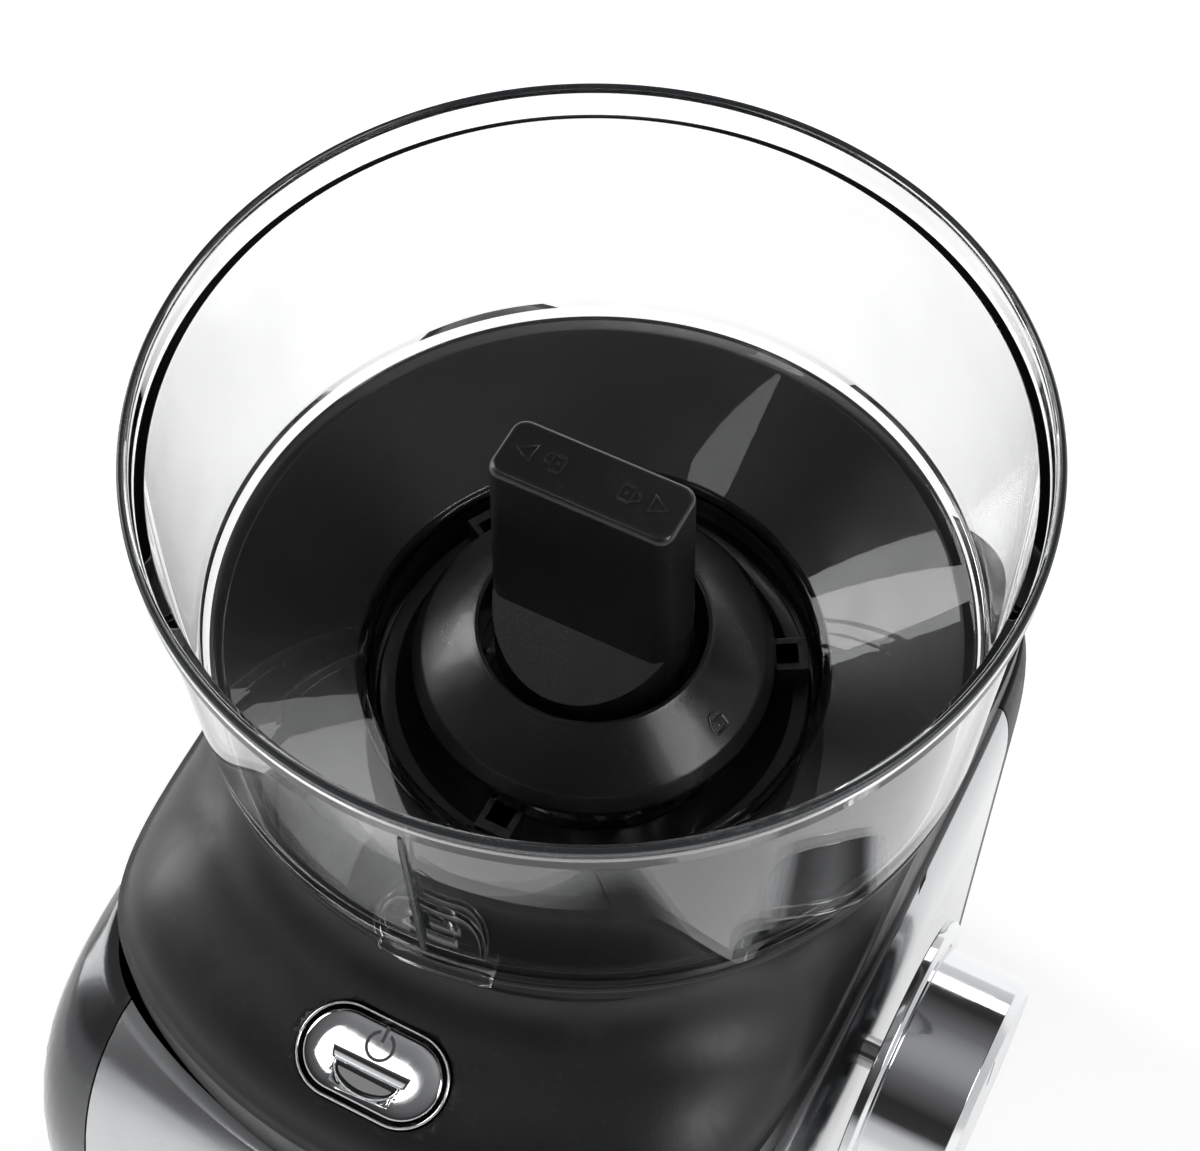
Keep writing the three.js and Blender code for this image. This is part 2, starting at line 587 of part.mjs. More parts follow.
// Two flat shelves slope from the blade's faces down to the foot's rim.
const shelves = new THREE.Shape();
shelves.moveTo(-19, 186);
for (const [y, z] of [[19, 186], [19, 203.4], [6.1, 211.5], [-6.1, 211.5], [-19, 203.4]]) {
  shelves.lineTo(y, z);
}
const knobFoot = revolved([
  [0, 188], [KNOB_RADIUS - 1.2, 188], [KNOB_RADIUS - 1.2, 196], [KNOB_RADIUS, 198], [KNOB_RADIUS, 214], [0, 214],
]).intersect(acrossX(shelves, 24));
const knobHollow = prism(roundedRect(-13, 13, -3.6, 3.6, 2), 180, KNOB_TOP - 4, 4);
const knob = cut(join(knobFoot, blade), knobHollow);
add('lock_knob', knob, KNOB_BLACK, [0, 0, 0], [0, 0, rad(KNOB_ANGLE)]);
const cam = cut(join(rod(12, 184.2, 187.7), block(-29, 29, -4, 4, 184.2, 186.1)), rod(3, 180, 190));
add('lock_cam', cam, STEEL);

// ---- adjusting ring and hopper ------------------------------------------
const adjustRing = ring([
  [45.4, 174], [45.4, 190.2], [62.6, 200.3], [68.6, 200.3], [70.4, 201.4], [70.6, 203.2], [70.2, HOPPER_BASE_Z - 0.3],
  [66.2, HOPPER_BASE_Z - 0.3], [43.6, 190.8], [43, 189.6], [43, 174],
]);
add('adjusting_ring', adjustRing, BLACK);
const RIM = HOPPER_RIM_RADIUS;
const FLOOR_IN = 41.4;
const hopperWall = ring([
  [42.4, 181], [42.4, 190.2], [43.2, 191.4], [65.6, HOPPER_BASE_Z + 0.4], [68.4, HOPPER_BASE_Z],
  [HOPPER_BASE_RADIUS - 0.6, HOPPER_BASE_Z + 0.6], [HOPPER_BASE_RADIUS, HOPPER_BASE_Z + 2],
  [RIM - 1.6, HOPPER_RIM_TOP - 9], [RIM - 1.5, HOPPER_RIM_TOP - 7.4], [RIM - 0.5, HOPPER_RIM_TOP - 6.2],
  [RIM, HOPPER_RIM_TOP - 0.5], [RIM - 0.5, HOPPER_RIM_TOP], [RIM - 1.9, HOPPER_RIM_TOP],
  [RIM - 2.3, HOPPER_RIM_TOP - 4.7], [RIM - 4.3, HOPPER_RIM_TOP - 5.3],
  [HOPPER_BASE_RADIUS + 0.4 - HOPPER_WALL, HOPPER_BASE_Z + 6.4], [HOPPER_BASE_RADIUS - 3.6, HOPPER_BASE_Z + 3],
  [FLOOR_IN, 193], [40.4, 191.6], [40.4, 181],
], 40);
const tabBand = ring([
  [HOPPER_BASE_RADIUS - 1, HOPPER_BASE_Z + 0.6], [HOPPER_BASE_RADIUS + 1.9, HOPPER_BASE_Z + 1.2],
  [HOPPER_BASE_RADIUS + 2.2, HOPPER_BASE_Z + 3.2], [HOPPER_BASE_RADIUS - 0.6, HOPPER_BASE_Z + 4.4],
], 90);
const tab = tabBand.intersect(wedge(-83.5, 8, 90, 200, 212));
const ribBand = ring([
  [HOPPER_BASE_RADIUS - 0.6, HOPPER_BASE_Z + 6], [HOPPER_BASE_RADIUS + 0.9, HOPPER_BASE_Z + 6],
  [RIM - 1.1, HOPPER_RIM_TOP - 8], [RIM - 2.6, HOPPER_RIM_TOP - 8],
], 96);
const rib = ribBand.intersect(wedge(-85, 0.45, 90, 200, 262));
add('hopper', join(hopperWall, tab, rib), CLEAR);
add('neck_seal', tube(40.7, 42.1, 178.6, 180.6, 24), RUBBER);

// ---- drive train --------------------------------------------------------
const WHEEL_CENTRES = (WHEEL_MODULE * (WHEEL_TEETH + WHEEL_PINION_TEETH)) / 2;
const FIRST_CENTRES = (FIRST_MODULE * (FIRST_TEETH + MOTOR_TEETH)) / 2;
const IDLER_Y = (WHEEL_CENTRES ** 2 - FIRST_CENTRES ** 2 + MOTOR_Y ** 2) / (2 * MOTOR_Y);
const IDLER_X = Math.sqrt(WHEEL_CENTRES ** 2 - IDLER_Y ** 2);
const toDegrees = THREE.MathUtils.radToDeg;
const idlerFromSpindle = toDegrees(Math.atan2(IDLER_Y, IDLER_X));
const motorFromIdler = toDegrees(Math.atan2(MOTOR_Y - IDLER_Y, -IDLER_X));
const halfTooth = (teeth) => 180 / teeth;

const plateShape = roundedRect(-39, 39, -29, 70, 8);
const gearPlate = cut(
  prism(plateShape, 119.2, 121.8, 5),
  rod(8.4, 110, 130),
  rod(3.4, 110, 130, IDLER_X, IDLER_Y),
  rod(10.6, 110, 130, 0, MOTOR_Y),
);
add('gear_plate', gearPlate, STEEL);
const gearCover = cut(
  prism(plateShape, 142.6, 145.6, 5),
  rod(8.4, 130, 150),
  rod(3.4, 130, 150, IDLER_X, IDLER_Y),
);
const posts = [[-34, -24], [34, -24], [-34, 65], [34, 65]];
const postShape = posts.map(([x, y]) => rod(3.4, 122.2, 143, x, y, 12));
add('gear_cover', join(gearCover, ...postShape), BLACK);
for (const [name, z] of [['bearing_lower', 119.3], ['bearing_upper', 142.7]]) {
  add(name, tube(4.3, 8.1, 0, 2.8, 20), BRASS, [0, 0, z]);
}
add('spindle', revolved([
  [0, 117.6], [3.4, 117.6], [4, 118.2], [4, BURR_TOP - 0.2], [3, BURR_TOP], [3, BURR_TOP + 3], [0, BURR_TOP + 3],
], 24), STEEL);
const wheel = join(
  prism(gearShape(WHEEL_MODULE, WHEEL_TEETH, idlerFromSpindle, 4 + GAP), 124, 131),
  tube(4 + GAP, 9, 122.6, 137, 20),
);
add('main_wheel', wheel, NYLON);
const idlerPhase = idlerFromSpindle + 180 + halfTooth(WHEEL_PINION_TEETH);
const idler = join(
  prism(gearShape(WHEEL_MODULE, WHEEL_PINION_TEETH, idlerPhase, 3 + GAP), 123.6, 133),
  prism(gearShape(FIRST_MODULE, FIRST_TEETH, motorFromIdler, 3 + GAP), 133, 138.6),
);
add('idler_gear', idler, NYLON, [IDLER_X, IDLER_Y, 0]);
add('idler_pin', rod(3, 119.6, 145.2, 0, 0, 24), STEEL, [IDLER_X, IDLER_Y, 0]);
const motorPhase = motorFromIdler + 180 + halfTooth(MOTOR_TEETH);
add('motor_pinion', prism(gearShape(FIRST_MODULE, MOTOR_TEETH, motorPhase, 2.5 + GAP), 132.6, 140.6), BRASS, [0, MOTOR_Y, 0]);
add('motor_shaft', rod(2.5, 40, 141, 0, 0, 24), STEEL, [0, MOTOR_Y, 0]);
const motorCan = cut(
  join(rod(MOTOR_RADIUS, 54, 112, 0, 0, 28), rod(10, 112, 121)),
  rod(MOTOR_RADIUS - 1.6, 50, 110, 0, 0, 28),
  rod(2.5 + RUNNING_GAP, 50, 130),
);
add('motor_can', motorCan, STEEL, [0, MOTOR_Y, 0]);
const motorCap = cut(
  join(rod(MOTOR_RADIUS, 46, 53.6, 0, 0, 28), block(-19, -11, -5, 5, 42, 46), block(11, 19, -5, 5, 42, 46)),
  rod(MOTOR_RADIUS - 2, 48.6, 60, 0, 0, 28),
  rod(2.5 + RUNNING_GAP, 30, 60),
);
add('motor_cap', motorCap, GREY, [0, MOTOR_Y, 0]);
let rotor = tube(2.8, 17, 68, 102, 32);
for (let i = 0; i < 8; i += 1) {
  rotor = cut(rotor, block(9, 20, -1.3, 1.3, 60, 110).rotate([0, 0, i * 45]));
}
add('motor_rotor', rotor, COPPER, [0, MOTOR_Y, 0]);
add('commutator', tube(2.8, 7, 56, 66, 14), COPPER, [0, MOTOR_Y, 0]);
const magnetRing = tube(18, MOTOR_RADIUS - 2, 66, 104, 28);
[0, 180].forEach((angle, i) => {
  add(`motor_magnet_${i + 1}`, magnetRing.intersect(wedge(angle, 62, 40, 60, 110)), GREY, [0, MOTOR_Y, 0]);
});

// ---- power button -------------------------------------------------------
const tilt = rad(BUTTON_TILT);
const buttonGroup = new THREE.Group();
buttonGroup.position.set(0, BUTTON_Y, BUTTON_Z);
buttonGroup.rotation.set(tilt, 0, 0);
grinder.add(buttonGroup);
const addButton = (name, shape, material) => add(name, shape, material, [0, 0, 0], [0, 0, 0], buttonGroup);
const inPlace = (manifold) => manifold.rotate([BUTTON_TILT, 0, 0]).translate([0, BUTTON_Y, BUTTON_Z]);
const BEZEL_IN = BUTTON_RADIUS + 0.65;
const BEZEL_OUT = BUTTON_RADIUS + 1.3;
const stadiumBlock = (r, z0, z1, segments = 7) => prism(stadium(BUTTON_HALF_STRAIGHT, r), z0, z1, segments);
const hood = cut(
  hoodShell(),
  inPlace(stadiumBlock(BEZEL_OUT + GAP, -6, 8)),
);
add('hood', hood, BLACK);
addButton('button_bezel', cut(
  join(stadiumBlock(BEZEL_OUT, -8, 0.5), stadiumBlock(BEZEL_OUT + 1.6, -8, -6.8)),
  stadiumBlock(BEZEL_IN, -9, 4),
), CHROME);
const moonBlock = (grow, z0, z1) => {
  const shape = new THREE.Shape();
  for (let i = 0; i <= 12; i += 1) {
    const t = rad(180 + i * 15);
    const x = (6.4 + grow) * Math.cos(t);
    const y = -1.3 + grow + (4.4 + 2 * grow) * Math.sin(t);
    if (i === 0) {
      shape.moveTo(x, y);
    } else {
      shape.lineTo(x, y);
    }
  }
  return prism(shape, z0, z1);
};
const symbol = join(
  cut(tube(2.1, 2.75, 0.5, 3, 24), block(-0.9, 0.9, 0.5, 4, 0, 4)),
  block(-0.3, 0.3, 0.6, 3.7, 0.5, 3),
).translate([0, 3.4, 0]);
const cap0 = cut(
  join(stadiumBlock(BUTTON_RADIUS, -4, 0.5), stadiumBlock(BUTTON_RADIUS - 0.5, 0.5, 0.9)),
  stadiumBlock(BUTTON_RADIUS - 1.4, -6, -1),
  moonBlock(0.15, -2, 3),
  symbol,
);
addButton('power_button', join(cap0, rod(1.6, -8.4, -0.8, 0, 1.6, 16)), CHROME);
addButton('button_lens', moonBlock(-0.15, -0.9, 0.55), LENS);
const coil = new THREE.CatmullRomCurve3(Array.from({ length: 33 }, (_, i) => {
  const a = (i / 32) * 2 * Math.PI * 3;
  return new THREE.Vector3(2.6 * Math.cos(a), 1.6 + 2.6 * Math.sin(a), -9.2 + (i / 32) * 7.4);
}));
const wire = new THREE.Shape();
wire.absarc(0, 0, 0.3, 0, 2 * Math.PI);
addButton('button_spring', solid(new THREE.ExtrudeGeometry(wire, {
  steps: 48, bevelEnabled: false, extrudePath: coil, curveSegments: 2,
})), STEEL);
const boardShape = roundedRect(-24, 24, -9, 18, 2);
addButton('control_board', prism(boardShape, -17.6, -16, 3), BOARD);
addButton('button_switch', join(
  block(-3.2, 3.2, -1.6, 4.8, -15.7, -12),
  rod(1.6, -12.2, -10.4, 0, 1.6, 16),
), GREY);

// ---- dial ---------------------------------------------------------------
const dialGroup = new THREE.Group();
dialGroup.position.set(DIAL_FACE_X, DIAL_Y, DIAL_Z);
dialGroup.rotation.set(0, Math.PI / 2, 0);
grinder.add(dialGroup);
const addDial = (name, shape, material) => add(name, shape, material, [0, 0, 0], [0, 0, 0], dialGroup);
addDial('dial_ring', ring([
  [DIAL_RADIUS + 0.6, -1.2], [28.7, -1.2], [28.8, 0.4], [28, 1.2], [DIAL_RADIUS + 1.6, 1.4], [DIAL_RADIUS + 0.6, 0.8],
], 40), CHROME);
addDial('dial_knob', revolved([
  [0, DIAL_LENGTH - 2.4], [3.3, DIAL_LENGTH - 2.4], [3.3, 3], [6, 3], [6, DIAL_LENGTH - 4.4],
  [DIAL_RADIUS - 2, DIAL_LENGTH - 4.4], [DIAL_RADIUS - 2, 0.2], [DIAL_RADIUS, 0.2],
  [DIAL_RADIUS, DIAL_LENGTH - 1.7], [DIAL_RADIUS - 1.5, DIAL_LENGTH], [0, DIAL_LENGTH],
], 40), CHROME);
addDial('dial_shaft', rod(3, -17.4, DIAL_LENGTH - 2.8, 0, 0, 24), STEEL);
addDial('timer_switch', cut(join(rod(13, -32, -19, 0, 0, 32), rod(6.4, -19, -11.6, 0, 0, 24)), rod(3.4, -18.6, -10, 0, 0, 24)), GREY);

// ---- mains inlet --------------------------------------------------------
add('cord_inlet', ring([[2.6, -7], [4.8, -7], [4.8, 0], [7.4, 0], [7, 3], [4.4, 3.6], [2.6, 3.6]], 20), RUBBER,
  [0, REAR_DEPTH + 0.4, 38], [-Math.PI / 2, 0, 0]);

// ---- move the finished object over the origin ---------------------------
grinder.updateMatrixWorld(true);
const bounds = new THREE.Box3().setFromObject(grinder, true);
const centre = bounds.getCenter(new THREE.Vector3());
grinder.position.set(-centre.x, -centre.y, -bounds.min.z);
grinder.updateMatrixWorld(true);

export default grinder;
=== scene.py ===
import math
import bmesh
import bpy
from mathutils import Matrix, Vector


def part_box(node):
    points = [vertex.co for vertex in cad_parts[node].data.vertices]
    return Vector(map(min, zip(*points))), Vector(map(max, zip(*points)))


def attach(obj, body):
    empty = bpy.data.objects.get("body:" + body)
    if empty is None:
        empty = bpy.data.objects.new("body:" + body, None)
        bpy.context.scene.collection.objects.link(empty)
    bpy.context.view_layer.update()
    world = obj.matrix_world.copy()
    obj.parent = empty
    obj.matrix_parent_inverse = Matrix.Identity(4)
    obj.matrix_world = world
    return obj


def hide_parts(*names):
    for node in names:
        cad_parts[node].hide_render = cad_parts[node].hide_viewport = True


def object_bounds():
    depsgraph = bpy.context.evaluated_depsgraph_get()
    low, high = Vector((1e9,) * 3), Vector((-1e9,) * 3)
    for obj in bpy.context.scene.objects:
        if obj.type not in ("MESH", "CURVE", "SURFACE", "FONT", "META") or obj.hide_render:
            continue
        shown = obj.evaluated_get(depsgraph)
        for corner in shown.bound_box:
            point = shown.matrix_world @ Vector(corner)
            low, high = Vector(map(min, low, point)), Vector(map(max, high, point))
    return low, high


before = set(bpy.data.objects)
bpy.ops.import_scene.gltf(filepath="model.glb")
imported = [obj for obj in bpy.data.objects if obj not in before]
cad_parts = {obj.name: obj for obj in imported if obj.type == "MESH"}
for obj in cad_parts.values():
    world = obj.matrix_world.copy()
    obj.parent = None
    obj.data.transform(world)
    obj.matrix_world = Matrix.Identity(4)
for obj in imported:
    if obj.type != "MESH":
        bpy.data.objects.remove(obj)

cadLow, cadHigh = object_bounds()

# lengths below are in millimetres from the burr axis and the worktop
mm = 0.001
hopperLow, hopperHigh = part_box("hopper")
burrAxis = Vector(((hopperLow.x + hopperHigh.x) / 2, (hopperLow.y + hopperHigh.y) / 2, 0))
rimRadius = (hopperHigh.x - hopperLow.x) / 2 / mm
rimTop = hopperHigh.z / mm
knobLow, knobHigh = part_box("lock_knob")
knobTop = knobHigh.z / mm
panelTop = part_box("side_panel_left")[1].z / mm
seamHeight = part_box("hood")[0].z / mm
print("frame loaded, burr axis at", [round(v, 4) for v in burrAxis])


# mesh helpers

def worldPoint(x, y, z):
    return Vector((burrAxis.x + x * mm, burrAxis.y + y * mm, z * mm))


def meshObject(name, verts, faces):
    mesh = bpy.data.meshes.new(name)
    mesh.from_pydata([tuple(v) for v in verts], [], faces)
    bm = bmesh.new()
    bm.from_mesh(mesh)
    bmesh.ops.remove_doubles(bm, verts=bm.verts, dist=2e-7)
    bmesh.ops.dissolve_degenerate(bm, edges=bm.edges, dist=1e-7)
    bmesh.ops.recalc_face_normals(bm, faces=bm.faces)
    bm.to_mesh(mesh)
    bm.free()
    obj = bpy.data.objects.new(name, mesh)
    bpy.context.scene.collection.objects.link(obj)
    return obj


# rounds an outline's corners; a third number in a point is that corner's own radius
def softCorners(points, radius, steps=4, closed=True):
    out = []
    count = len(points)
    for i, point in enumerate(points):
        if not closed and i in (0, count - 1):
            out.append(point[:2])
            continue
        before = Vector(points[i - 1][:2])
        here = Vector(point[:2])
        after = Vector(points[(i + 1) % count][:2])
        size = point[2] if len(point) > 2 else radius
        toBefore, toAfter = before - here, after - here
        if size <= 0 or toBefore.length < 1e-6 or toAfter.length < 1e-6:
            out.append(point[:2])
            continue
        angle = toBefore.angle(toAfter)
        if angle > math.radians(172):
            out.append(point[:2])
            continue
        reach = min(size / math.tan(angle / 2), toBefore.length * 0.48, toAfter.length * 0.48)
        a = here + toBefore.normalized() * reach
        b = here + toAfter.normalized() * reach
        for k in range(steps + 1):
            t = k / steps
            out.append(tuple((1 - t) ** 2 * a + 2 * t * (1 - t) * here + t * t * b))
    return out


# quads between neighbouring columns of points that run round the axis
def gridFaces(columns, rows, wrapRows=True):
    faces = []
    for i in range(columns):
        j = (i + 1) % columns
        for k in range(rows if wrapRows else rows - 1):
            m = (k + 1) % rows
            faces.append((i * rows + k, j * rows + k, j * rows + m, i * rows + m))
    return faces


# profile points are radius and height; an open profile starts and ends on the axis
def latheObject(name, profile, radius=0.3, segments=128, steps=3, closed=True):
    points = softCorners(profile, radius, steps, closed)
    verts = []
    for i in range(segments):
        a = 2 * math.pi * i / segments
        for r, z in points:
            verts.append((max(r, 0) * math.cos(a) * mm, max(r, 0) * math.sin(a) * mm, z * mm))
    return meshObject(name, verts, gridFaces(segments, len(points), closed))


def spun(degrees, axis):
    return Matrix.Rotation(math.radians(degrees), 4, axis)


def placed(obj, matrix):
    obj.data.transform(matrix)
    return obj


def onAxis(obj):
    return placed(obj, Matrix.Translation(burrAxis))


def roundedRect(x0, x1, y0, y1, r, steps=8):
    points = []
    centres = ((x1 - r, y0 + r), (x1 - r, y1 - r), (x0 + r, y1 - r), (x0 + r, y0 + r))
    for (cx, cy), start in zip(centres, (-90, 0, 90, 180)):
        for k in range(steps + 1):
            a = math.radians(start + 90 * k / steps)
            points.append((cx + r * math.cos(a), cy + r * math.sin(a)))
    return points


def stadium(half, r, steps=20):
    points = []
    for side, start in ((1, -90), (-1, 90)):
        for k in range(steps + 1):
            a = math.radians(start + 180 * k / steps)
            points.append((side * half + r * math.cos(a), r * math.sin(a)))
    return points


# a flat outline given thickness from z0 to z1
def plateObject(name, points, z0, z1):
    count = len(points)
    verts = [(x * mm, y * mm, z * mm) for z in (z0, z1) for x, y in points]
    faces = [tuple(reversed(range(count))), tuple(range(count, 2 * count))]
    faces += [(i, (i + 1) % count, count + (i + 1) % count, count + i) for i in range(count)]
    return meshObject(name, verts, faces)


def boxObject(name, x0, x1, y0, y1, z0, z1):
    return plateObject(name, [(x0, y0), (x1, y0), (x1, y1), (x0, y1)], z0, z1)


# outlines of equal point count stacked at their heights, capped at both ends
def stackObject(name, layers):
    count = len(layers[0][0])
    verts = [(x * mm, y * mm, z * mm) for points, z in layers for x, y in points]
    faces = [tuple(reversed(range(count)))]
    for k in range(len(layers) - 1):
        a, b = k * count, (k + 1) * count
        faces += [(a + i, a + (i + 1) % count, b + (i + 1) % count, b + i) for i in range(count)]
    last = (len(layers) - 1) * count
    faces.append(tuple(range(last, last + count)))
    return meshObject(name, verts, faces)


# cuts, joins or keeps what two closed meshes share, and uses up the second one
def carve(obj, other, operation="DIFFERENCE"):
    modifier = obj.modifiers.new("carve", "BOOLEAN")
    modifier.operation = operation
    modifier.solver = "EXACT"
    modifier.object = other
    bpy.context.view_layer.update()
    evaluated = obj.evaluated_get(bpy.context.evaluated_depsgraph_get())
    mesh = bpy.data.meshes.new_from_object(evaluated)
    obj.modifiers.clear()
    obj.data = mesh
    bpy.data.objects.remove(other)
    return obj


def joined(name, *objs):
    bm = bmesh.new()
    for o in objs:
        bm.from_mesh(o.data)
        bpy.data.objects.remove(o)
    mesh = bpy.data.meshes.new(name)
    bm.to_mesh(mesh)
    bm.free()
    obj = bpy.data.objects.new(name, mesh)
    bpy.context.scene.collection.objects.link(obj)
    return obj


# gives a finished shape its material, softened edges, body and the nodes it stands for
def dressed(obj, material, body, standsFor=(), bevel=0.0, bevelSteps=3):
    obj.data.materials.clear()
    obj.data.materials.append(material)
    obj.data.polygons.foreach_set("use_smooth", [True] * len(obj.data.polygons))
    if bevel:
        edge = obj.modifiers.new("softEdges", "BEVEL")
        edge.width = bevel * mm
        edge.segments = bevelSteps
        edge.limit_method = "ANGLE"
        edge.angle_limit = math.radians(38)
        edge.use_clamp_overlap = True
    normals = obj.modifiers.new("flatFaces", "WEIGHTED_NORMAL")
    normals.keep_sharp = True
    normals.weight = 80
    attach(obj, body)
    if standsFor:
        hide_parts(*standsFor)
    return obj


# shader node groups

def newGroup(name, inputs, outputs):
    group = bpy.data.node_groups.new(name, "ShaderNodeTree")
    for label, value in inputs:
        socket = group.interface.new_socket(name=label, in_out="INPUT", socket_type="NodeSocketFloat")
        socket.default_value = value
    for label in outputs:
        group.interface.new_socket(name=label, in_out="OUTPUT", socket_type="NodeSocketFloat")
    return group, group.nodes.new("NodeGroupInput"), group.nodes.new("NodeGroupOutput")


def mathNode(tree, operation, a, b=None, clamp=False):
    node = tree.nodes.new("ShaderNodeMath")
    node.operation = operation
    node.use_clamp = clamp
    for index, value in enumerate((a, b)):
        if value is None:
            continue
        if isinstance(value, (int, float)):
            node.inputs[index].default_value = value
        else:
            tree.links.new(value, node.inputs[index])
    return node.outputs[0]


def noiseNode(tree, vector, scale, detail=3.0, distortion=0.0):
    node = tree.nodes.new("ShaderNodeTexNoise")
    node.inputs["Detail"].default_value = detail
    node.inputs["Distortion"].default_value = distortion
    tree.links.new(vector, node.inputs["Vector"])
    if isinstance(scale, (int, float)):
        node.inputs["Scale"].default_value = scale
    else:
        tree.links.new(scale, node.inputs["Scale"])
    return node.outputs["Fac"]


def rangeNode(tree, value, low, high):
    node = tree.nodes.new("ShaderNodeMapRange")
    tree.links.new(value, node.inputs["Value"])
    node.inputs["From Min"].default_value = low
    node.inputs["From Max"].default_value = high
    return node.outputs["Result"]


def buildGrain():
    group, source, result = newGroup("mouldedGrain", [("Scale", 3000.0)], ["Height", "Tone"])
    place = group.nodes.new("ShaderNodeTexCoord").outputs["Object"]
    fine = noiseNode(group, place, source.outputs["Scale"], 2.0)
    cells = group.nodes.new("ShaderNodeTexVoronoi")
    group.links.new(place, cells.inputs["Vector"])
    group.links.new(mathNode(group, "MULTIPLY", source.outputs["Scale"], 0.7), cells.inputs["Scale"])
    height = mathNode(group, "MULTIPLY_ADD", cells.outputs["Distance"], 0.6)
    height.node.inputs[2].default_value = 0.0
    total = mathNode(group, "ADD", height, fine)
    group.links.new(total, result.inputs["Height"])
    broad = noiseNode(group, place, 38.0, 4.0, 0.4)
    group.links.new(broad, result.inputs["Tone"])
    return group


def buildBrushed():
    group, source, result = newGroup(
        "brushedLines", [("Across X", 60.0), ("Across Y", 60.0), ("Across Z", 4000.0)], ["Height", "Tone"])
    place = group.nodes.new("ShaderNodeTexCoord").outputs["Object"]
    stretch = group.nodes.new("ShaderNodeVectorMath")
    stretch.operation = "MULTIPLY"
    group.links.new(place, stretch.inputs[0])
    scales = group.nodes.new("ShaderNodeCombineXYZ")
    for label, axis in (("Across X", "X"), ("Across Y", "Y"), ("Across Z", "Z")):
        group.links.new(source.outputs[label], scales.inputs[axis])
    group.links.new(scales.outputs[0], stretch.inputs[1])
    lines = noiseNode(group, stretch.outputs[0], 1.0, 3.0)
    group.links.new(lines, result.inputs["Height"])
    group.links.new(noiseNode(group, place, 45.0, 3.0, 0.3), result.inputs["Tone"])
    return group


def buildEdgeWear():
    group, source, result = newGroup("edgeWear", [("Amount", 0.5), ("Scale", 400.0)], ["Mask"])
    place = group.nodes.new("ShaderNodeTexCoord").outputs["Object"]
    pointiness = group.nodes.new("ShaderNodeNewGeometry").outputs["Pointiness"]
    raised = rangeNode(group, pointiness, 0.515, 0.58)
    broken = rangeNode(group, noiseNode(group, place, source.outputs["Scale"], 5.0), 0.42, 0.68)
    mask = mathNode(group, "MULTIPLY", raised, broken)
    group.links.new(mathNode(group, "MULTIPLY", mask, source.outputs["Amount"], True), result.inputs["Mask"])
    return group


def buildHandling():
    group, source, result = newGroup(
        "handling", [("Smudge Scale", 60.0), ("Dust Scale", 900.0)], ["Smudge", "Dust"])
    place = group.nodes.new("ShaderNodeTexCoord").outputs["Object"]
    smear = noiseNode(group, place, source.outputs["Smudge Scale"], 5.0, 1.2)
    group.links.new(rangeNode(group, smear, 0.45, 0.75), result.inputs["Smudge"])
    upward = group.nodes.new("ShaderNodeSeparateXYZ")
    group.links.new(group.nodes.new("ShaderNodeNewGeometry").outputs["Normal"], upward.inputs[0])
    facingUp = rangeNode(group, upward.outputs["Z"], 0.2, 0.95)
    specks = rangeNode(group, noiseNode(group, place, source.outputs["Dust Scale"], 6.0), 0.62, 0.74)
    group.links.new(mathNode(group, "MULTIPLY", facingUp, specks, True), result.inputs["Dust"])
    return group


def buildTurned():
    group, source, result = newGroup(
        "turnedRings",
        [("Centre X", 0.0), ("Centre Y", 0.0), ("Centre Z", 0.0), ("Along X", 0.0), ("Pitch", 9000.0)],
        ["Height", "Tone"])
    place = group.nodes.new("ShaderNodeTexCoord").outputs["Object"]
    middle = group.nodes.new("ShaderNodeCombineXYZ")
    for label, axis in (("Centre X", "X"), ("Centre Y", "Y"), ("Centre Z", "Z")):
        group.links.new(source.outputs[label], middle.inputs[axis])
    offset = group.nodes.new("ShaderNodeVectorMath")
    offset.operation = "SUBTRACT"
    group.links.new(place, offset.inputs[0])
    group.links.new(middle.outputs[0], offset.inputs[1])
    parts = group.nodes.new("ShaderNodeSeparateXYZ")
    group.links.new(offset.outputs[0], parts.inputs[0])
    notX = mathNode(group, "SUBTRACT", 1.0, source.outputs["Along X"])
    first = mathNode(group, "MULTIPLY", parts.outputs["X"], notX)
    third = mathNode(group, "MULTIPLY", parts.outputs["Z"], source.outputs["Along X"])
    squares = [mathNode(group, "MULTIPLY", v, v) for v in (first, parts.outputs["Y"], third)]
    flat = mathNode(group, "ADD", squares[0], squares[1])
    radius = mathNode(group, "SQRT", mathNode(group, "ADD", flat, squares[2]))
    rings = group.nodes.new("ShaderNodeCombineXYZ")
    group.links.new(mathNode(group, "MULTIPLY", radius, source.outputs["Pitch"]), rings.inputs["X"])
    group.links.new(noiseNode(group, rings.outputs[0], 1.0, 2.0), result.inputs["Height"])
    group.links.new(noiseNode(group, place, 50.0, 3.0, 0.4), result.inputs["Tone"])
    return group


effects = {
    "grain": buildGrain(),
    "brushed": buildBrushed(),
    "turned": buildTurned(),
    "wear": buildEdgeWear(),
    "handling": buildHandling(),
}


def groupNode(tree, key, **values):
    node = tree.nodes.new("ShaderNodeGroup")
    node.node_tree = effects[key]
    for label, value in values.items():
        node.inputs[label.replace("_", " ")].default_value = value
    return node


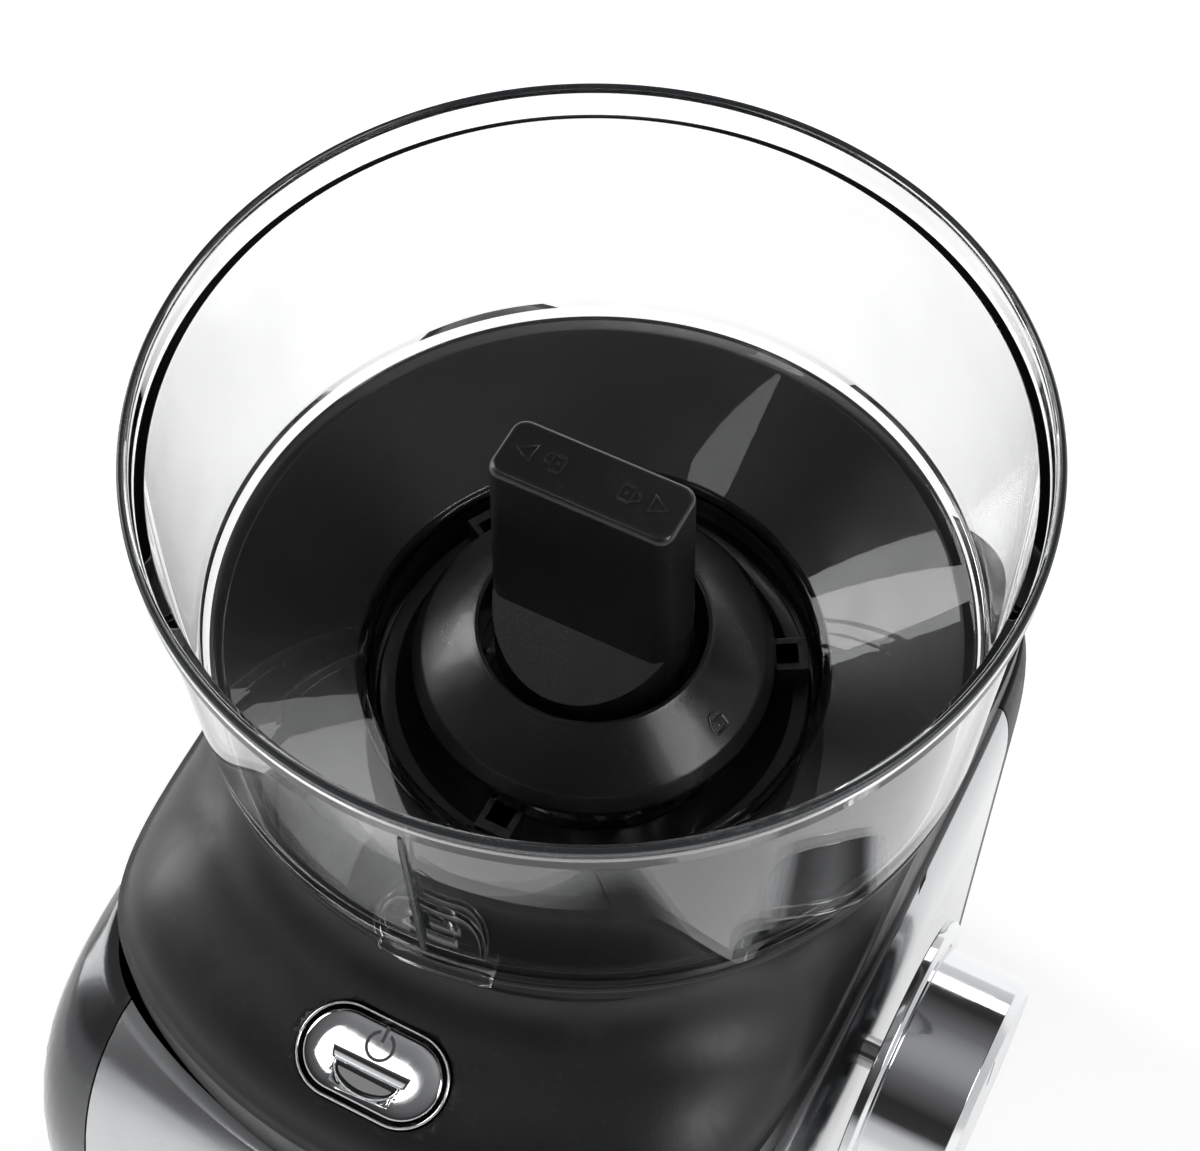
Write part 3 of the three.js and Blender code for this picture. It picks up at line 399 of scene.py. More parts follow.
# base colour with tone and worn edges, roughness with smudges, and a fine relief
def makeMaterial(name, color, worn, rough, metallic=0.0, texture="grain", textureValues=None, bump=0.1,
                 bumpDepth=0.03, wear=0.5, dust=0.03, toneSpread=0.12, **sockets):
    material = bpy.data.materials.new(name)
    material.use_nodes = True
    tree = material.node_tree
    shader = tree.nodes["Principled BSDF"]
    shader.inputs["Metallic"].default_value = metallic
    for label, value in sockets.items():
        shader.inputs[label.replace("_", " ")].default_value = value
    detail = groupNode(tree, texture, **(textureValues or {}))
    handling = groupNode(tree, "handling")
    edges = groupNode(tree, "wear", Amount=wear)

    def mixed(a, b, factor):
        node = tree.nodes.new("ShaderNodeMix")
        node.data_type = "RGBA"
        for socket, value in ((node.inputs[6], a), (node.inputs[7], b)):
            if isinstance(value, tuple):
                socket.default_value = (*value, 1.0)
            else:
                tree.links.new(value, socket)
        tree.links.new(factor, node.inputs[0])
        return node.outputs[2]

    lighter = tuple(min(1.0, c * (1 + toneSpread) + 0.02 * toneSpread) for c in color)
    darker = tuple(c * (1 - toneSpread) for c in color)
    base = mixed(darker, lighter, rangeNode(tree, detail.outputs["Tone"], 0.3, 0.7))
    base = mixed(base, worn, edges.outputs["Mask"])
    dustMask = mathNode(tree, "MULTIPLY", handling.outputs["Dust"], dust)
    base = mixed(base, (0.42, 0.4, 0.37), dustMask)
    tree.links.new(base, shader.inputs["Base Color"])
    spread = mathNode(tree, "MULTIPLY_ADD", handling.outputs["Smudge"], rough[1] - rough[0])
    spread.node.inputs[2].default_value = rough[0]
    finer = mathNode(tree, "MULTIPLY_ADD", detail.outputs["Height"], (rough[1] - rough[0]) * 0.5)
    tree.links.new(spread, finer.node.inputs[2])
    tree.links.new(finer, shader.inputs["Roughness"])
    relief = tree.nodes.new("ShaderNodeBump")
    relief.inputs["Strength"].default_value = bump
    relief.inputs["Distance"].default_value = bumpDepth * mm
    tree.links.new(detail.outputs["Height"], relief.inputs["Height"])
    tree.links.new(relief.outputs["Normal"], shader.inputs["Normal"])
    return material


dialLow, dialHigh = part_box("dial_knob")
dialCentre = Vector((dialLow.x, (dialLow.y + dialHigh.y) / 2, (dialLow.z + dialHigh.z) / 2))
overDial = {"Centre_X": dialCentre.x, "Centre_Y": dialCentre.y, "Centre_Z": dialCentre.z, "Along_X": 1.0}
overBurrs = {"Centre_X": burrAxis.x, "Centre_Y": burrAxis.y, "Pitch": 5000.0}

satinBlack = makeMaterial("satinBlackPlastic", (0.013, 0.013, 0.014), (0.06, 0.06, 0.062), (0.34, 0.48),
                          textureValues={"Scale": 2600.0}, bump=0.22, bumpDepth=0.05, wear=0.35)
knobBlack = makeMaterial("knobBlackPlastic", (0.009, 0.009, 0.010), (0.05, 0.05, 0.05), (0.24, 0.36),
                         textureValues={"Scale": 3400.0}, bump=0.18, bumpDepth=0.04, wear=0.5,
                         Coat_Weight=0.15)
signBlack = makeMaterial("signBlackPlastic", (0.02, 0.02, 0.021), (0.07, 0.07, 0.07), (0.14, 0.22),
                         textureValues={"Scale": 3000.0}, bump=0.05, wear=0.3)
deepBlack = makeMaterial("housingBlackPlastic", (0.016, 0.016, 0.017), (0.07, 0.07, 0.07), (0.42, 0.56),
                         textureValues={"Scale": 1800.0}, bump=0.35, bumpDepth=0.08, wear=0.4, dust=0.06)
silverPanel = makeMaterial("silverPanelPaint", (0.56, 0.57, 0.58), (0.7, 0.7, 0.7), (0.24, 0.27),
                           metallic=0.85, textureValues={"Scale": 5200.0}, bump=0.03, bumpDepth=0.02,
                           wear=0.3, dust=0.1, toneSpread=0.05, Coat_Weight=0.4, Coat_Roughness=0.08)
chromePlate = makeMaterial("chromePlate", (0.78, 0.79, 0.8), (0.62, 0.62, 0.62), (0.035, 0.1), metallic=1.0,
                           textureValues={"Scale": 900.0}, bump=0.02, bumpDepth=0.02, wear=0.2, dust=0.08,
                           toneSpread=0.03)
# the silver panel paint darkened to a glossy dark grey: painted shade for the left side panel, which is
# silver like the right one and looks dark only from a dark reflection
leftPanelPaintedShade = makeMaterial("leftPanelPaintedShadeGloss", (0.085, 0.087, 0.09), (0.3, 0.3, 0.3), (0.14, 0.22), metallic=0.6,
                         textureValues={"Scale": 5200.0}, bump=0.06, bumpDepth=0.02, wear=0.3, dust=0.1,
                         toneSpread=0.05, Coat_Weight=0.3, Coat_Roughness=0.06)
dialFace = makeMaterial("dialFaceSpun", (0.72, 0.73, 0.74), (0.8, 0.8, 0.8), (0.2, 0.32), metallic=0.9,
                        texture="turned", textureValues=dict(overDial, Pitch=7000.0), bump=0.2,
                        bumpDepth=0.03, wear=0.2, dust=0.05, toneSpread=0.04)
turnedSteel = makeMaterial("turnedSteel", (0.44, 0.44, 0.45), (0.62, 0.62, 0.62), (0.2, 0.36), metallic=1.0,
                           texture="turned", textureValues=overBurrs, bump=0.3, bumpDepth=0.04, wear=0.8,
                           dust=0.1)
brushedSteel = makeMaterial("brushedSteel", (0.47, 0.47, 0.48), (0.65, 0.65, 0.65), (0.25, 0.42),
                            metallic=1.0, texture="brushed", bump=0.25, bumpDepth=0.04, wear=0.6, dust=0.1)
nylonWhite = makeMaterial("nylonGear", (0.66, 0.64, 0.56), (0.78, 0.76, 0.7), (0.4, 0.55),
                          textureValues={"Scale": 1500.0}, bump=0.2, wear=0.4, dust=0.05,
                          Subsurface_Weight=0.15)
rubberBlack = makeMaterial("rubberBlack", (0.018, 0.018, 0.018), (0.07, 0.07, 0.07), (0.62, 0.82),
                           textureValues={"Scale": 1400.0}, bump=0.5, bumpDepth=0.1, wear=0.4, dust=0.06)
brassTurned = makeMaterial("brassTurned", (0.62, 0.42, 0.19), (0.8, 0.62, 0.35), (0.22, 0.38), metallic=1.0,
                           texture="turned", textureValues=overBurrs, bump=0.2, wear=0.5)
copperWound = makeMaterial("copperWound", (0.5, 0.22, 0.11), (0.75, 0.45, 0.3), (0.25, 0.4), metallic=1.0,
                           texture="brushed", textureValues={"Across_Z": 2500.0}, bump=0.5, bumpDepth=0.1,
                           wear=0.5)
boardGreen = makeMaterial("boardLacquer", (0.02, 0.12, 0.05), (0.1, 0.25, 0.14), (0.2, 0.35),
                          textureValues={"Scale": 700.0}, bump=0.2, wear=0.3, Coat_Weight=0.3)
greyPlastic = makeMaterial("greyPlastic", (0.09, 0.09, 0.095), (0.2, 0.2, 0.2), (0.4, 0.55),
                           textureValues={"Scale": 1600.0}, bump=0.3, bumpDepth=0.06, wear=0.4)
lensDark = makeMaterial("lensDark", (0.012, 0.014, 0.016), (0.05, 0.05, 0.05), (0.04, 0.09),
                        textureValues={"Scale": 500.0}, bump=0.03, wear=0.1, dust=0.05, Coat_Weight=0.5)
rimTint = makeMaterial("rimTint", (0.03, 0.034, 0.038), (0.25, 0.26, 0.27), (0.16, 0.32),
                       textureValues={"Scale": 2200.0}, bump=0.4, bumpDepth=0.08, wear=0.5, dust=0.06)


def makeClear(name, color, rough, weight, bump):
    material = bpy.data.materials.new(name)
    material.use_nodes = True
    tree = material.node_tree
    shader = tree.nodes["Principled BSDF"]
    shader.inputs["Transmission Weight"].default_value = weight
    shader.inputs["IOR"].default_value = 1.38
    handling = groupNode(tree, "handling", Smudge_Scale=35.0, Dust_Scale=1300.0)
    grain = groupNode(tree, "grain", Scale=60.0)
    tint = tree.nodes.new("ShaderNodeMix")
    tint.data_type = "RGBA"
    tint.inputs[6].default_value = (*color, 1.0)
    tint.inputs[7].default_value = (*[c * 0.93 for c in color], 1.0)
    tree.links.new(handling.outputs["Smudge"], tint.inputs[0])
    tree.links.new(tint.outputs[2], shader.inputs["Base Color"])
    spread = mathNode(tree, "MULTIPLY_ADD", handling.outputs["Smudge"], rough[1] - rough[0])
    spread.node.inputs[2].default_value = rough[0]
    tree.links.new(spread, shader.inputs["Roughness"])
    relief = tree.nodes.new("ShaderNodeBump")
    relief.inputs["Strength"].default_value = bump
    relief.inputs["Distance"].default_value = 0.05 * mm
    tree.links.new(grain.outputs["Height"], relief.inputs["Height"])
    tree.links.new(relief.outputs["Normal"], shader.inputs["Normal"])
    return material


clearPlastic = makeClear("clearHopperPlastic", (0.985, 0.99, 0.99), (0.0, 0.03), 1.0, 0.05)
smokePlastic = makeClear("smokeBinPlastic", (0.3, 0.31, 0.32), (0.03, 0.09), 0.92, 0.06)
print("materials made:", len(bpy.data.materials))


# camera

cameraSettings = {
    "distance": 396.45, "elevation": 53.52, "azimuth": 28.0, "lens": 75.0, "roll": -0.0103,
    "rimAcross": -0.003372, "rimUp": 0.059152,
}


def buildCamera(s):
    data = bpy.data.cameras.new("camera")
    camera = bpy.data.objects.new("camera", data)
    bpy.context.scene.collection.objects.link(camera)
    bpy.context.scene.camera = camera
    data.lens = s["lens"]
    data.sensor_width = 36
    data.clip_start = 0.01
    data.clip_end = 20
    a, e = math.radians(s["azimuth"]), math.radians(s["elevation"])
    rimCentre = worldPoint(0, 0, rimTop)
    away = Vector((math.sin(a) * math.cos(e), -math.cos(a) * math.cos(e), math.sin(e)))
    camera.location = rimCentre + away * s["distance"] * mm
    facing = (-away).to_track_quat("-Z", "Y")
    aim = Vector((s["rimAcross"], s["rimUp"], -1)).normalized()
    turn = aim.rotation_difference(Vector((0, 0, -1)))
    roll = Matrix.Rotation(s["roll"], 4, "Z").to_quaternion()
    camera.rotation_mode = "QUATERNION"
    camera.rotation_quaternion = facing @ roll @ turn
    return camera


buildCamera(cameraSettings)


# body outline, shared by hood, panels, housing and base

bodyShape = {
    "hoodHalf": 66, "bodyHalf": 70, "nose": 97.5, "front": 110, "rear": 78, "power": 12,
    "seam": seamHeight, "skin": 2.5, "stripHalf": 52, "panelRear": 46, "bayTop": 118,
    "skinBottom": 24.1, "segments": 288,
}


def swell(t):
    u = min(1.0, max(0.0, t))
    return math.sqrt(1 - (1 - u) ** 2)


# distance from the burr axis to the outer skin, by direction and height
def outlineRadius(angle, z):
    s = bodyShape
    c = abs(math.cos(angle)) + 1e-6
    n = math.sin(angle)
    settle = swell((s["seam"] - z) / 16)
    flare = swell((s["seam"] - z) / 50)
    side = (s["hoodHalf"] + (s["bodyHalf"] - s["hoodHalf"]) * settle) / c
    front = s["nose"] + (s["front"] / max(-n, 0.05) - s["nose"]) * flare
    rear = s["rear"] / max(n, 1e-3)
    limits = (side, front) if n < 0 else (side, rear, s["nose"])
    return sum(r ** -s["power"] for r in limits) ** (-1 / s["power"])


# rows are inset from the outer skin and height
def skinLoft(name, rows, radius=0.35, steps=3, closed=True):
    count = bodyShape["segments"]
    points = softCorners([(-inset, z) for inset, z in rows], radius, steps, closed)
    verts = []
    for i in range(count):
        a = 2 * math.pi * i / count
        for offset, z in points:
            r = max(outlineRadius(a, z) + offset, 0)
            verts.append((r * math.cos(a) * mm, r * math.sin(a) * mm, z * mm))
    return meshObject(name, verts, gridFaces(count, len(points), closed))


def skinBand(name, inner, outer, z0, z1, radius=0.35):
    between = (108, 114, 120, 126, 131, 136, 140, 143.5, 146.5, 149, 151, 152.6)
    heights = [z0] + [z for z in between if z0 + 1.5 < z < z1 - 1.5] + [z1]
    rows = [(outer, z) for z in heights] + [(inner, z) for z in reversed(heights)]
    return skinLoft(name, rows, radius)


# hood

hoodSettings = {
    "ledge": 180.5, "shoulder": 30, "drop": 18, "turret": 64.5, "turretTop": 199.8, "flare": 12,
    "rows": 26, "segments": 288, "innerRadius": 46.2, "buttonRoom": 8.7,
}


# the hood falls from its ledge over a round shoulder and rises to the turret in a flare
def hoodHeight(angle, r, edge):
    s = hoodSettings
    step = 0.01
    z = bodyShape["seam"]
    slope = (outlineRadius(angle + step, z) - outlineRadius(angle - step, z)) / (2 * step * edge)
    inside = (edge - r) / math.sqrt(1 + slope * slope)
    t = min(0.97, max(0.0, 1 - inside / s["shoulder"]))
    reach = min(s["flare"], max(0.0, s["turret"] + s["flare"] - r))
    rise = s["flare"] - math.sqrt(s["flare"] ** 2 - reach ** 2)
    return s["ledge"] - s["drop"] * (1 - math.sqrt(1 - t * t)) + rise


def buildHood(s):
    seam = bodyShape["seam"]
    skin = bodyShape["skin"]
    columns = []
    for i in range(s["segments"]):
        a = 2 * math.pi * i / s["segments"]
        edge = outlineRadius(a, seam)
        column = [(s["turret"] - 0.5, s["turretTop"]), (s["turret"] - 0.15, s["turretTop"] - 0.15),
                  (s["turret"], s["turretTop"] - 0.5)]
        for k in range(s["rows"]):
            t = (k / (s["rows"] - 1)) ** 1.15
            r = s["turret"] + (edge - s["turret"]) * t
            column.append((r, hoodHeight(a, r, edge)))
        column += [(edge, seam + 0.7), (edge - 0.2, seam + 0.2), (edge - 0.7, seam), (edge - skin, seam)]
        for t in (1, 0.6, 0.2):
            r = s["turret"] + (edge - s["turret"]) * t
            column.append((r - skin * max(t, 0.9), hoodHeight(a, r, edge) - skin))
        column += [(s["turret"] - skin, s["turretTop"] - skin - 0.4), (s["innerRadius"], 186),
                   (s["innerRadius"], 188.6), (s["turret"] - 1.2, s["turretTop"])]
        columns.append([(r * math.cos(a) * mm, r * math.sin(a) * mm, z * mm) for r, z in column])
    verts = [p for column in columns for p in column]
    hood = meshObject("hoodShell", verts, gridFaces(len(columns), len(columns[0])))
    opening = plateObject("opening", stadium(buttonSettings["halfStraight"], s["buttonRoom"]), -6, 8)
    placed(opening, buttonPlace)
    onAxis(hood)
    carve(hood, opening)
    return dressed(hood, satinBlack, "frame", ["hood"])


# power button

buttonSettings = {
    "halfStraight": 5.9, "radius": 7.1, "gap": 0.65, "bezel": 1.3, "tilt": 20, "moonHalf": 6.4,
    "moonDepth": 4.4, "moonEdge": -1.3, "signRadius": 2.42, "signWidth": 0.62, "signUp": 3.4,
}
buttonPlace = (Matrix.Translation(worldPoint(0, -82, 178))
               @ spun(buttonSettings["tilt"], "X"))


# lower half of an ellipse, the outline of the lens
def moonPoints(grow, s, count=28):
    points = []
    for k in range(count + 1):
        a = math.pi + math.pi * k / count
        points.append(((s["moonHalf"] + grow) * math.cos(a),
                       s["moonEdge"] + grow + (s["moonDepth"] + 2 * grow) * math.sin(a)))
    return points


def buildButton(s):
    half, r = s["halfStraight"], s["radius"]
    outer = r + s["bezel"]
    layers = [(stadium(half, outer), -7.8), (stadium(half, outer), 0.1), (stadium(half, outer - 0.1), 0.35),
              (stadium(half, outer - 0.3), 0.48), (stadium(half, r + s["gap"]), 0.3),
              (stadium(half, r + s["gap"]), -7.8)]
    count = len(layers[0][0])
    verts = [(x * mm, y * mm, z * mm) for points, z in layers for x, y in points]
    faces = []
    for k in range(len(layers)):
        a, b = k * count, ((k + 1) % len(layers)) * count
        faces += [(a + i, a + (i + 1) % count, b + (i + 1) % count, b + i) for i in range(count)]
    bezel = placed(meshObject("buttonBezel", verts, faces), buttonPlace)
    dressed(bezel, chromePlate, "frame", ["button_bezel"])
    crown = [(0.0, -4), (0.0, 0.05), (0.08, 0.3), (0.3, 0.52), (0.7, 0.66), (1.6, 0.8), (3.2, 0.88),
             (5.2, 0.9)]
    cap = stackObject("powerButtonCap", [(stadium(half, r - inset), z) for inset, z in crown])
    carve(cap, plateObject("moonCut", moonPoints(0.15, s), -2, 3))
    placed(cap, buttonPlace)
    dressed(cap, chromePlate, "button", ["power_button"])
    rimRows = [(moonPoints(0.12, s), 0.2), (moonPoints(0.12, s), 0.86), (moonPoints(-0.1, s), 0.92),
               (moonPoints(-0.42, s), 0.86), (moonPoints(-0.42, s), 0.2)]
    count = len(rimRows[0][0])
    verts = [(x * mm, y * mm, z * mm) for points, z in rimRows for x, y in points]
    faces = []
    for k in range(len(rimRows)):
        a, b = k * count, ((k + 1) % len(rimRows)) * count
        faces += [(a + i, a + (i + 1) % count, b + (i + 1) % count, b + i) for i in range(count)]
    trim = placed(meshObject("moonTrim", verts, faces), buttonPlace)
    dressed(trim, chromePlate, "button")
    dome = ((-0.15, -0.9), (-0.15, 0.35), (-0.5, 0.5), (-1.2, 0.58))
    lens = placed(stackObject("moonLens", [(moonPoints(grow, s), z) for grow, z in dome]), buttonPlace)
    dressed(lens, lensDark, "button", ["button_lens"])
    inside, outside = s["signRadius"] - s["signWidth"] / 2, s["signRadius"] + s["signWidth"] / 2
    sign = latheObject("powerRing", [(inside, 0.7), (outside, 0.7), (outside, 0.98), (inside, 0.98)], 0.1, 48)
    carve(sign, boxObject("signGap", -0.95, 0.95, 0.6, 4, 0, 2))
    bar = boxObject("powerBar", -0.3, 0.3, 0.7, 3.5, 0.7, 0.98)
    mark = joined("powerSign", sign, bar)
    placed(mark, buttonPlace @ Matrix.Translation((0, s["signUp"] * mm, -0.04 * mm)))
    dressed(mark, greyPlastic, "button", bevel=0.06, bevelSteps=2)


buildButton(buttonSettings)
buildHood(hoodSettings)
print("hood and button done")


# hopper

hopperSettings = {
    "base": 70.9, "baseZ": 204, "wall": 2.5, "segments": 256, "floor": 41.4, "tabAngle": -83.5, "tabHalf": 8,
    "ribAngle": -85,
}


# a small profile carried along part of a circle, thinner at both ends
def arcPiece(name, profile, middle, halfAngle, radius, segments=32):
    points = softCorners(profile, radius, 3)
    rows = len(points)
    verts = []
    for i in range(segments + 1):
        t = -1 + 2 * i / segments
        a = math.radians(middle + halfAngle * t)
        taper = 1 - 0.25 * abs(t) ** 8
        centreR = sum(p[0] for p in points) / rows
        centreZ = sum(p[1] for p in points) / rows
        for r, z in points:
            rr = centreR + (r - centreR) * taper
            zz = centreZ + (z - centreZ) * taper
            verts.append((rr * math.cos(a) * mm, rr * math.sin(a) * mm, zz * mm))
    faces = []
    for i in range(segments):
        for k in range(rows):
            m = (k + 1) % rows
            faces.append((i * rows + k, (i + 1) * rows + k, (i + 1) * rows + m, i * rows + m))
    faces.append(tuple(range(rows)))
    faces.append(tuple(reversed(range(segments * rows, (segments + 1) * rows))))
    return meshObject(name, verts, faces)


def buildHopper(s):
    rim, top, base, z0 = rimRadius, rimTop, s["base"], s["baseZ"]
    profile = [
        (42.4, 181), (42.4, 190.2), (43.2, 191.4, 1), (65.6, z0 + 0.4, 1), (68.4, z0),
        (base - 0.6, z0 + 0.6), (base, z0 + 2, 1), (rim - 1.6, top - 9), (rim - 1.4, top - 7),
        (rim - 0.5, top - 6.2, 0.2), (rim - 0.2, top - 5.6), (rim - 0.2, top - 1.5, 0.1),
        (rim - 1.1, top - 1.5, 0.1), (rim - 1.1, top - 0.4, 0.1), (rim - 1.6, top - 0.4, 0.2),
        (rim - 1.9, top - 4.9), (rim - 3.6, top - 5.5, 0.3),
        (base + 0.4 - s["wall"], z0 + 6.4, 3), (base - 3.6, z0 + 3, 2), (s["floor"], 193, 1),
        (40.4, 191.6), (40.4, 181),
    ]
    shell = onAxis(latheObject("hopperShell", profile, 0.3, s["segments"], 4))
    dressed(shell, clearPlastic, "hopper_body", ["hopper"])
    bead = latheObject("hopperRimBead", [
        (rim - 1.05, top - 1.45), (rim - 0.15, top - 1.45), (rim, top - 1.1), (rim, top - 0.4),
        (rim - 0.35, top), (rim - 0.8, top), (rim - 1.05, top - 0.3)], 0.2, s["segments"], 3)
    dressed(onAxis(bead), rimTint, "hopper_body")
    tab = arcPiece("hopperTab", [(base - 0.2, z0 + 0.9), (base + 1.9, z0 + 1.2), (base + 2.2, z0 + 3.2),
                                 (base + 0.2, z0 + 4.2)], s["tabAngle"], s["tabHalf"], 0.5)
    dressed(onAxis(tab), clearPlastic, "hopper_body")
    rib = arcPiece("hopperRib", [(base + 0.1, z0 + 6), (base + 0.9, z0 + 6), (rim - 1.1, top - 8.5),
                                 (rim - 1.9, top - 8.5)], s["ribAngle"], 0.45, 0.15, 4)
    dressed(onAxis(rib), rimTint, "hopper_body")


buildHopper(hopperSettings)


# grind collar

def buildCollar():
    collar = latheObject("grindCollar", [
        (45.4, 174), (45.4, 190.2), (62.6, 200.3), (68.6, 200.3), (70.4, 201.4), (70.6, 203.2, 0.4),
        (70.2, 203.7, 0.2), (66.2, 203.7), (43.6, 190.8), (43, 189.6), (43, 174)], 0.35, 256, 3)
    dressed(onAxis(collar), satinBlack, "adjuster", ["adjusting_ring"])


buildCollar()


# burr carrier with its dome

carrierSettings = {"dome": 33, "radius": 39.6, "knobGap": 20.4, "spokes": 3}


def padlockSign(name, matrix, height=0.22, opened=False):
    frameOut = plateObject(name, roundedRect(-1.8, 1.8, -1.7, 1.0, 0.45, 5), -0.4, height)
    carve(frameOut, plateObject("inside", roundedRect(-1.35, 1.35, -1.25, 0.55, 0.3, 5), -1, 1))
    shackle = latheObject("shackle", [(0.85, -0.4), (1.3, -0.4), (1.3, height), (0.85, height)], 0.06, 32, 2)
    carve(shackle, boxObject("half", -3, 3, -3, 0, -2, 2))
    placed(shackle, Matrix.Translation(((0.5 if opened else 0) * mm, 1.0 * mm, 0)))
    dotProfile = [(0, -0.4), (0.34, -0.4), (0.34, height), (0, height)]
    dot = latheObject("keyhole", dotProfile, 0.05, 20, 2, closed=False)
    placed(dot, Matrix.Translation((0, -0.35 * mm, 0)))
    return placed(joined(name, frameOut, shackle, dot), matrix)


def buildCarrier(s):
    d, g = s["dome"], s["knobGap"]
    dome = latheObject("domeShell", [
        (d, 193, 0.3), (d, 194, 0.8), (31.2, 196.6, 3), (25.6, 201.2, 4), (21.9, 203.6, 1),
        (21.2, 204.2, 0.25), (g, 204.2, 0.25), (g, 193), (22.4, 193), (22.4, 199.6), (31.4, 193)],
        0.4, 192, 5)
    dressed(onAxis(dome), knobBlack, "carrier", ["dome_cover"])
    ring = latheObject("carrierRing", [
        (s["radius"], 184.6), (s["radius"], 177), (30.3, 172), (30.3, 156.1), (27.3, 156.1), (27.3, 176.5),
        (36.6, 184.6)], 0.4, 160, 3)
    parts = [ring, latheObject("hub", [(g, 186.5), (22.4, 186.5), (22.4, 192.7), (g, 192.7)], 0.2, 96)]
    for i in range(s["spokes"]):
        turn = spun(30 + i * 120, "Z")
        parts.append(placed(boxObject("spoke", 21.6, 37.6, -2.4, 2.4, 186.5, 190.5), turn))
        parts.append(placed(boxObject("spokeFoot", 33, 39.2, -3.4, 3.4, 183, 190.5), turn))
    carrier = onAxis(joined("burrCarrierShell", *parts))
    dressed(carrier, knobBlack, "carrier", ["burr_carrier"], bevel=0.25, bevelSteps=2)
    a = math.radians(-12)
    slope = math.atan2(201.2 - 196.6, 31.2 - 25.6)
    spot = worldPoint(28.2 * math.cos(a), 28.2 * math.sin(a), 199.1)
    leaning = Matrix.Rotation(a, 4, "Z") @ Matrix.Rotation(slope, 4, "Y")
    place = Matrix.Translation(spot) @ leaning @ spun(90, "Z")
    sign = padlockSign("domePadlock", place, 0.3)
    dressed(sign, signBlack, "carrier")


buildCarrier(carrierSettings)


# lock knob

knobSettings = {"radius": 17.8, "length": 34.4, "width": 13.2, "foot": 203.4, "shelf": 211.5, "corner": 2.9}


def buildKnob(s):
    half, side = s["length"] / 2, s["width"] / 2
    layers = []
    insets = ((-0.4, 200), (-0.35, 206), (0.3, knobTop - 1.5), (0.4, knobTop - 0.9), (0.62, knobTop - 0.42),
              (0.95, knobTop - 0.12), (1.3, knobTop - 0.02), (1.8, knobTop))
    for inset, z in insets:
        corner = max(s["corner"] - inset * 0.6, 1.4)
        layers.append((roundedRect(-half + inset, half - inset, -side + inset, side - inset, corner, 10), z))
    blade = stackObject("bladeBody", layers)
    foot = latheObject("lockKnobBody", [
        (0, 188), (s["radius"] - 1.2, 188), (s["radius"] - 1.2, 196), (s["radius"], 198), (s["radius"], 214),
        (0, 214)], 0.2, 160, 3, closed=False)
    across = s["radius"] + 1.2
    roof = [(-across, 186), (across, 186), (across, s["foot"]), (side - 0.5, s["shelf"]),
            (-side + 0.5, s["shelf"]), (-across, s["foot"])]
    roofVerts = [(x * mm, y * mm, z * mm) for x in (-24, 24) for y, z in roof]
    count = len(roof)
    roofFaces = [tuple(range(count)), tuple(reversed(range(count, 2 * count)))]
    roofFaces += [(i, (i + 1) % count, count + (i + 1) % count, count + i) for i in range(count)]
    carve(foot, meshObject("roof", roofVerts, roofFaces), "INTERSECT")
    carve(foot, blade, "UNION")
    onAxis(foot)
    dressed(foot, knobBlack, "knob", ["lock_knob"], bevel=0.35)
    for index, (x, turn) in enumerate(((-12.2, 90), (12.2, -90))):
        place = Matrix.Translation(worldPoint(x, 0, knobTop)) @ spun(turn, "Z")
        outer = [(-2.0, -1.5), (2.0, -1.5), (0, 2.0)]
        arrow = plateObject("knobArrow%d" % (index + 1), outer, -0.3, 0.14)
        carve(arrow, plateObject("inner", [(-1.35, -1.12), (1.35, -1.12), (0, 1.2)], -1, 1))
        dressed(placed(arrow, place), signBlack, "knob")
        place = Matrix.Translation(worldPoint(x * 0.55, 0, knobTop)) @ spun(turn, "Z")
        lock = padlockSign("knobPadlock%d" % (index + 1), place, 0.14, opened=index == 0)
        dressed(lock, signBlack, "knob")


buildKnob(knobSettings)
print("hopper, collar, carrier and knob done")


# side and front panels

panelSettings = {"bossFace": 75.5}


# a lathe's own axis laid along the dial's shaft
dialAxis = Matrix.Translation((0, -26 * mm, 142 * mm)) @ spun(90, "Y")


def halfBox(x0, x1, y0, y1, z0, z1):
    return boxObject("cutter", x0, x1, y0, y1, z0, z1)


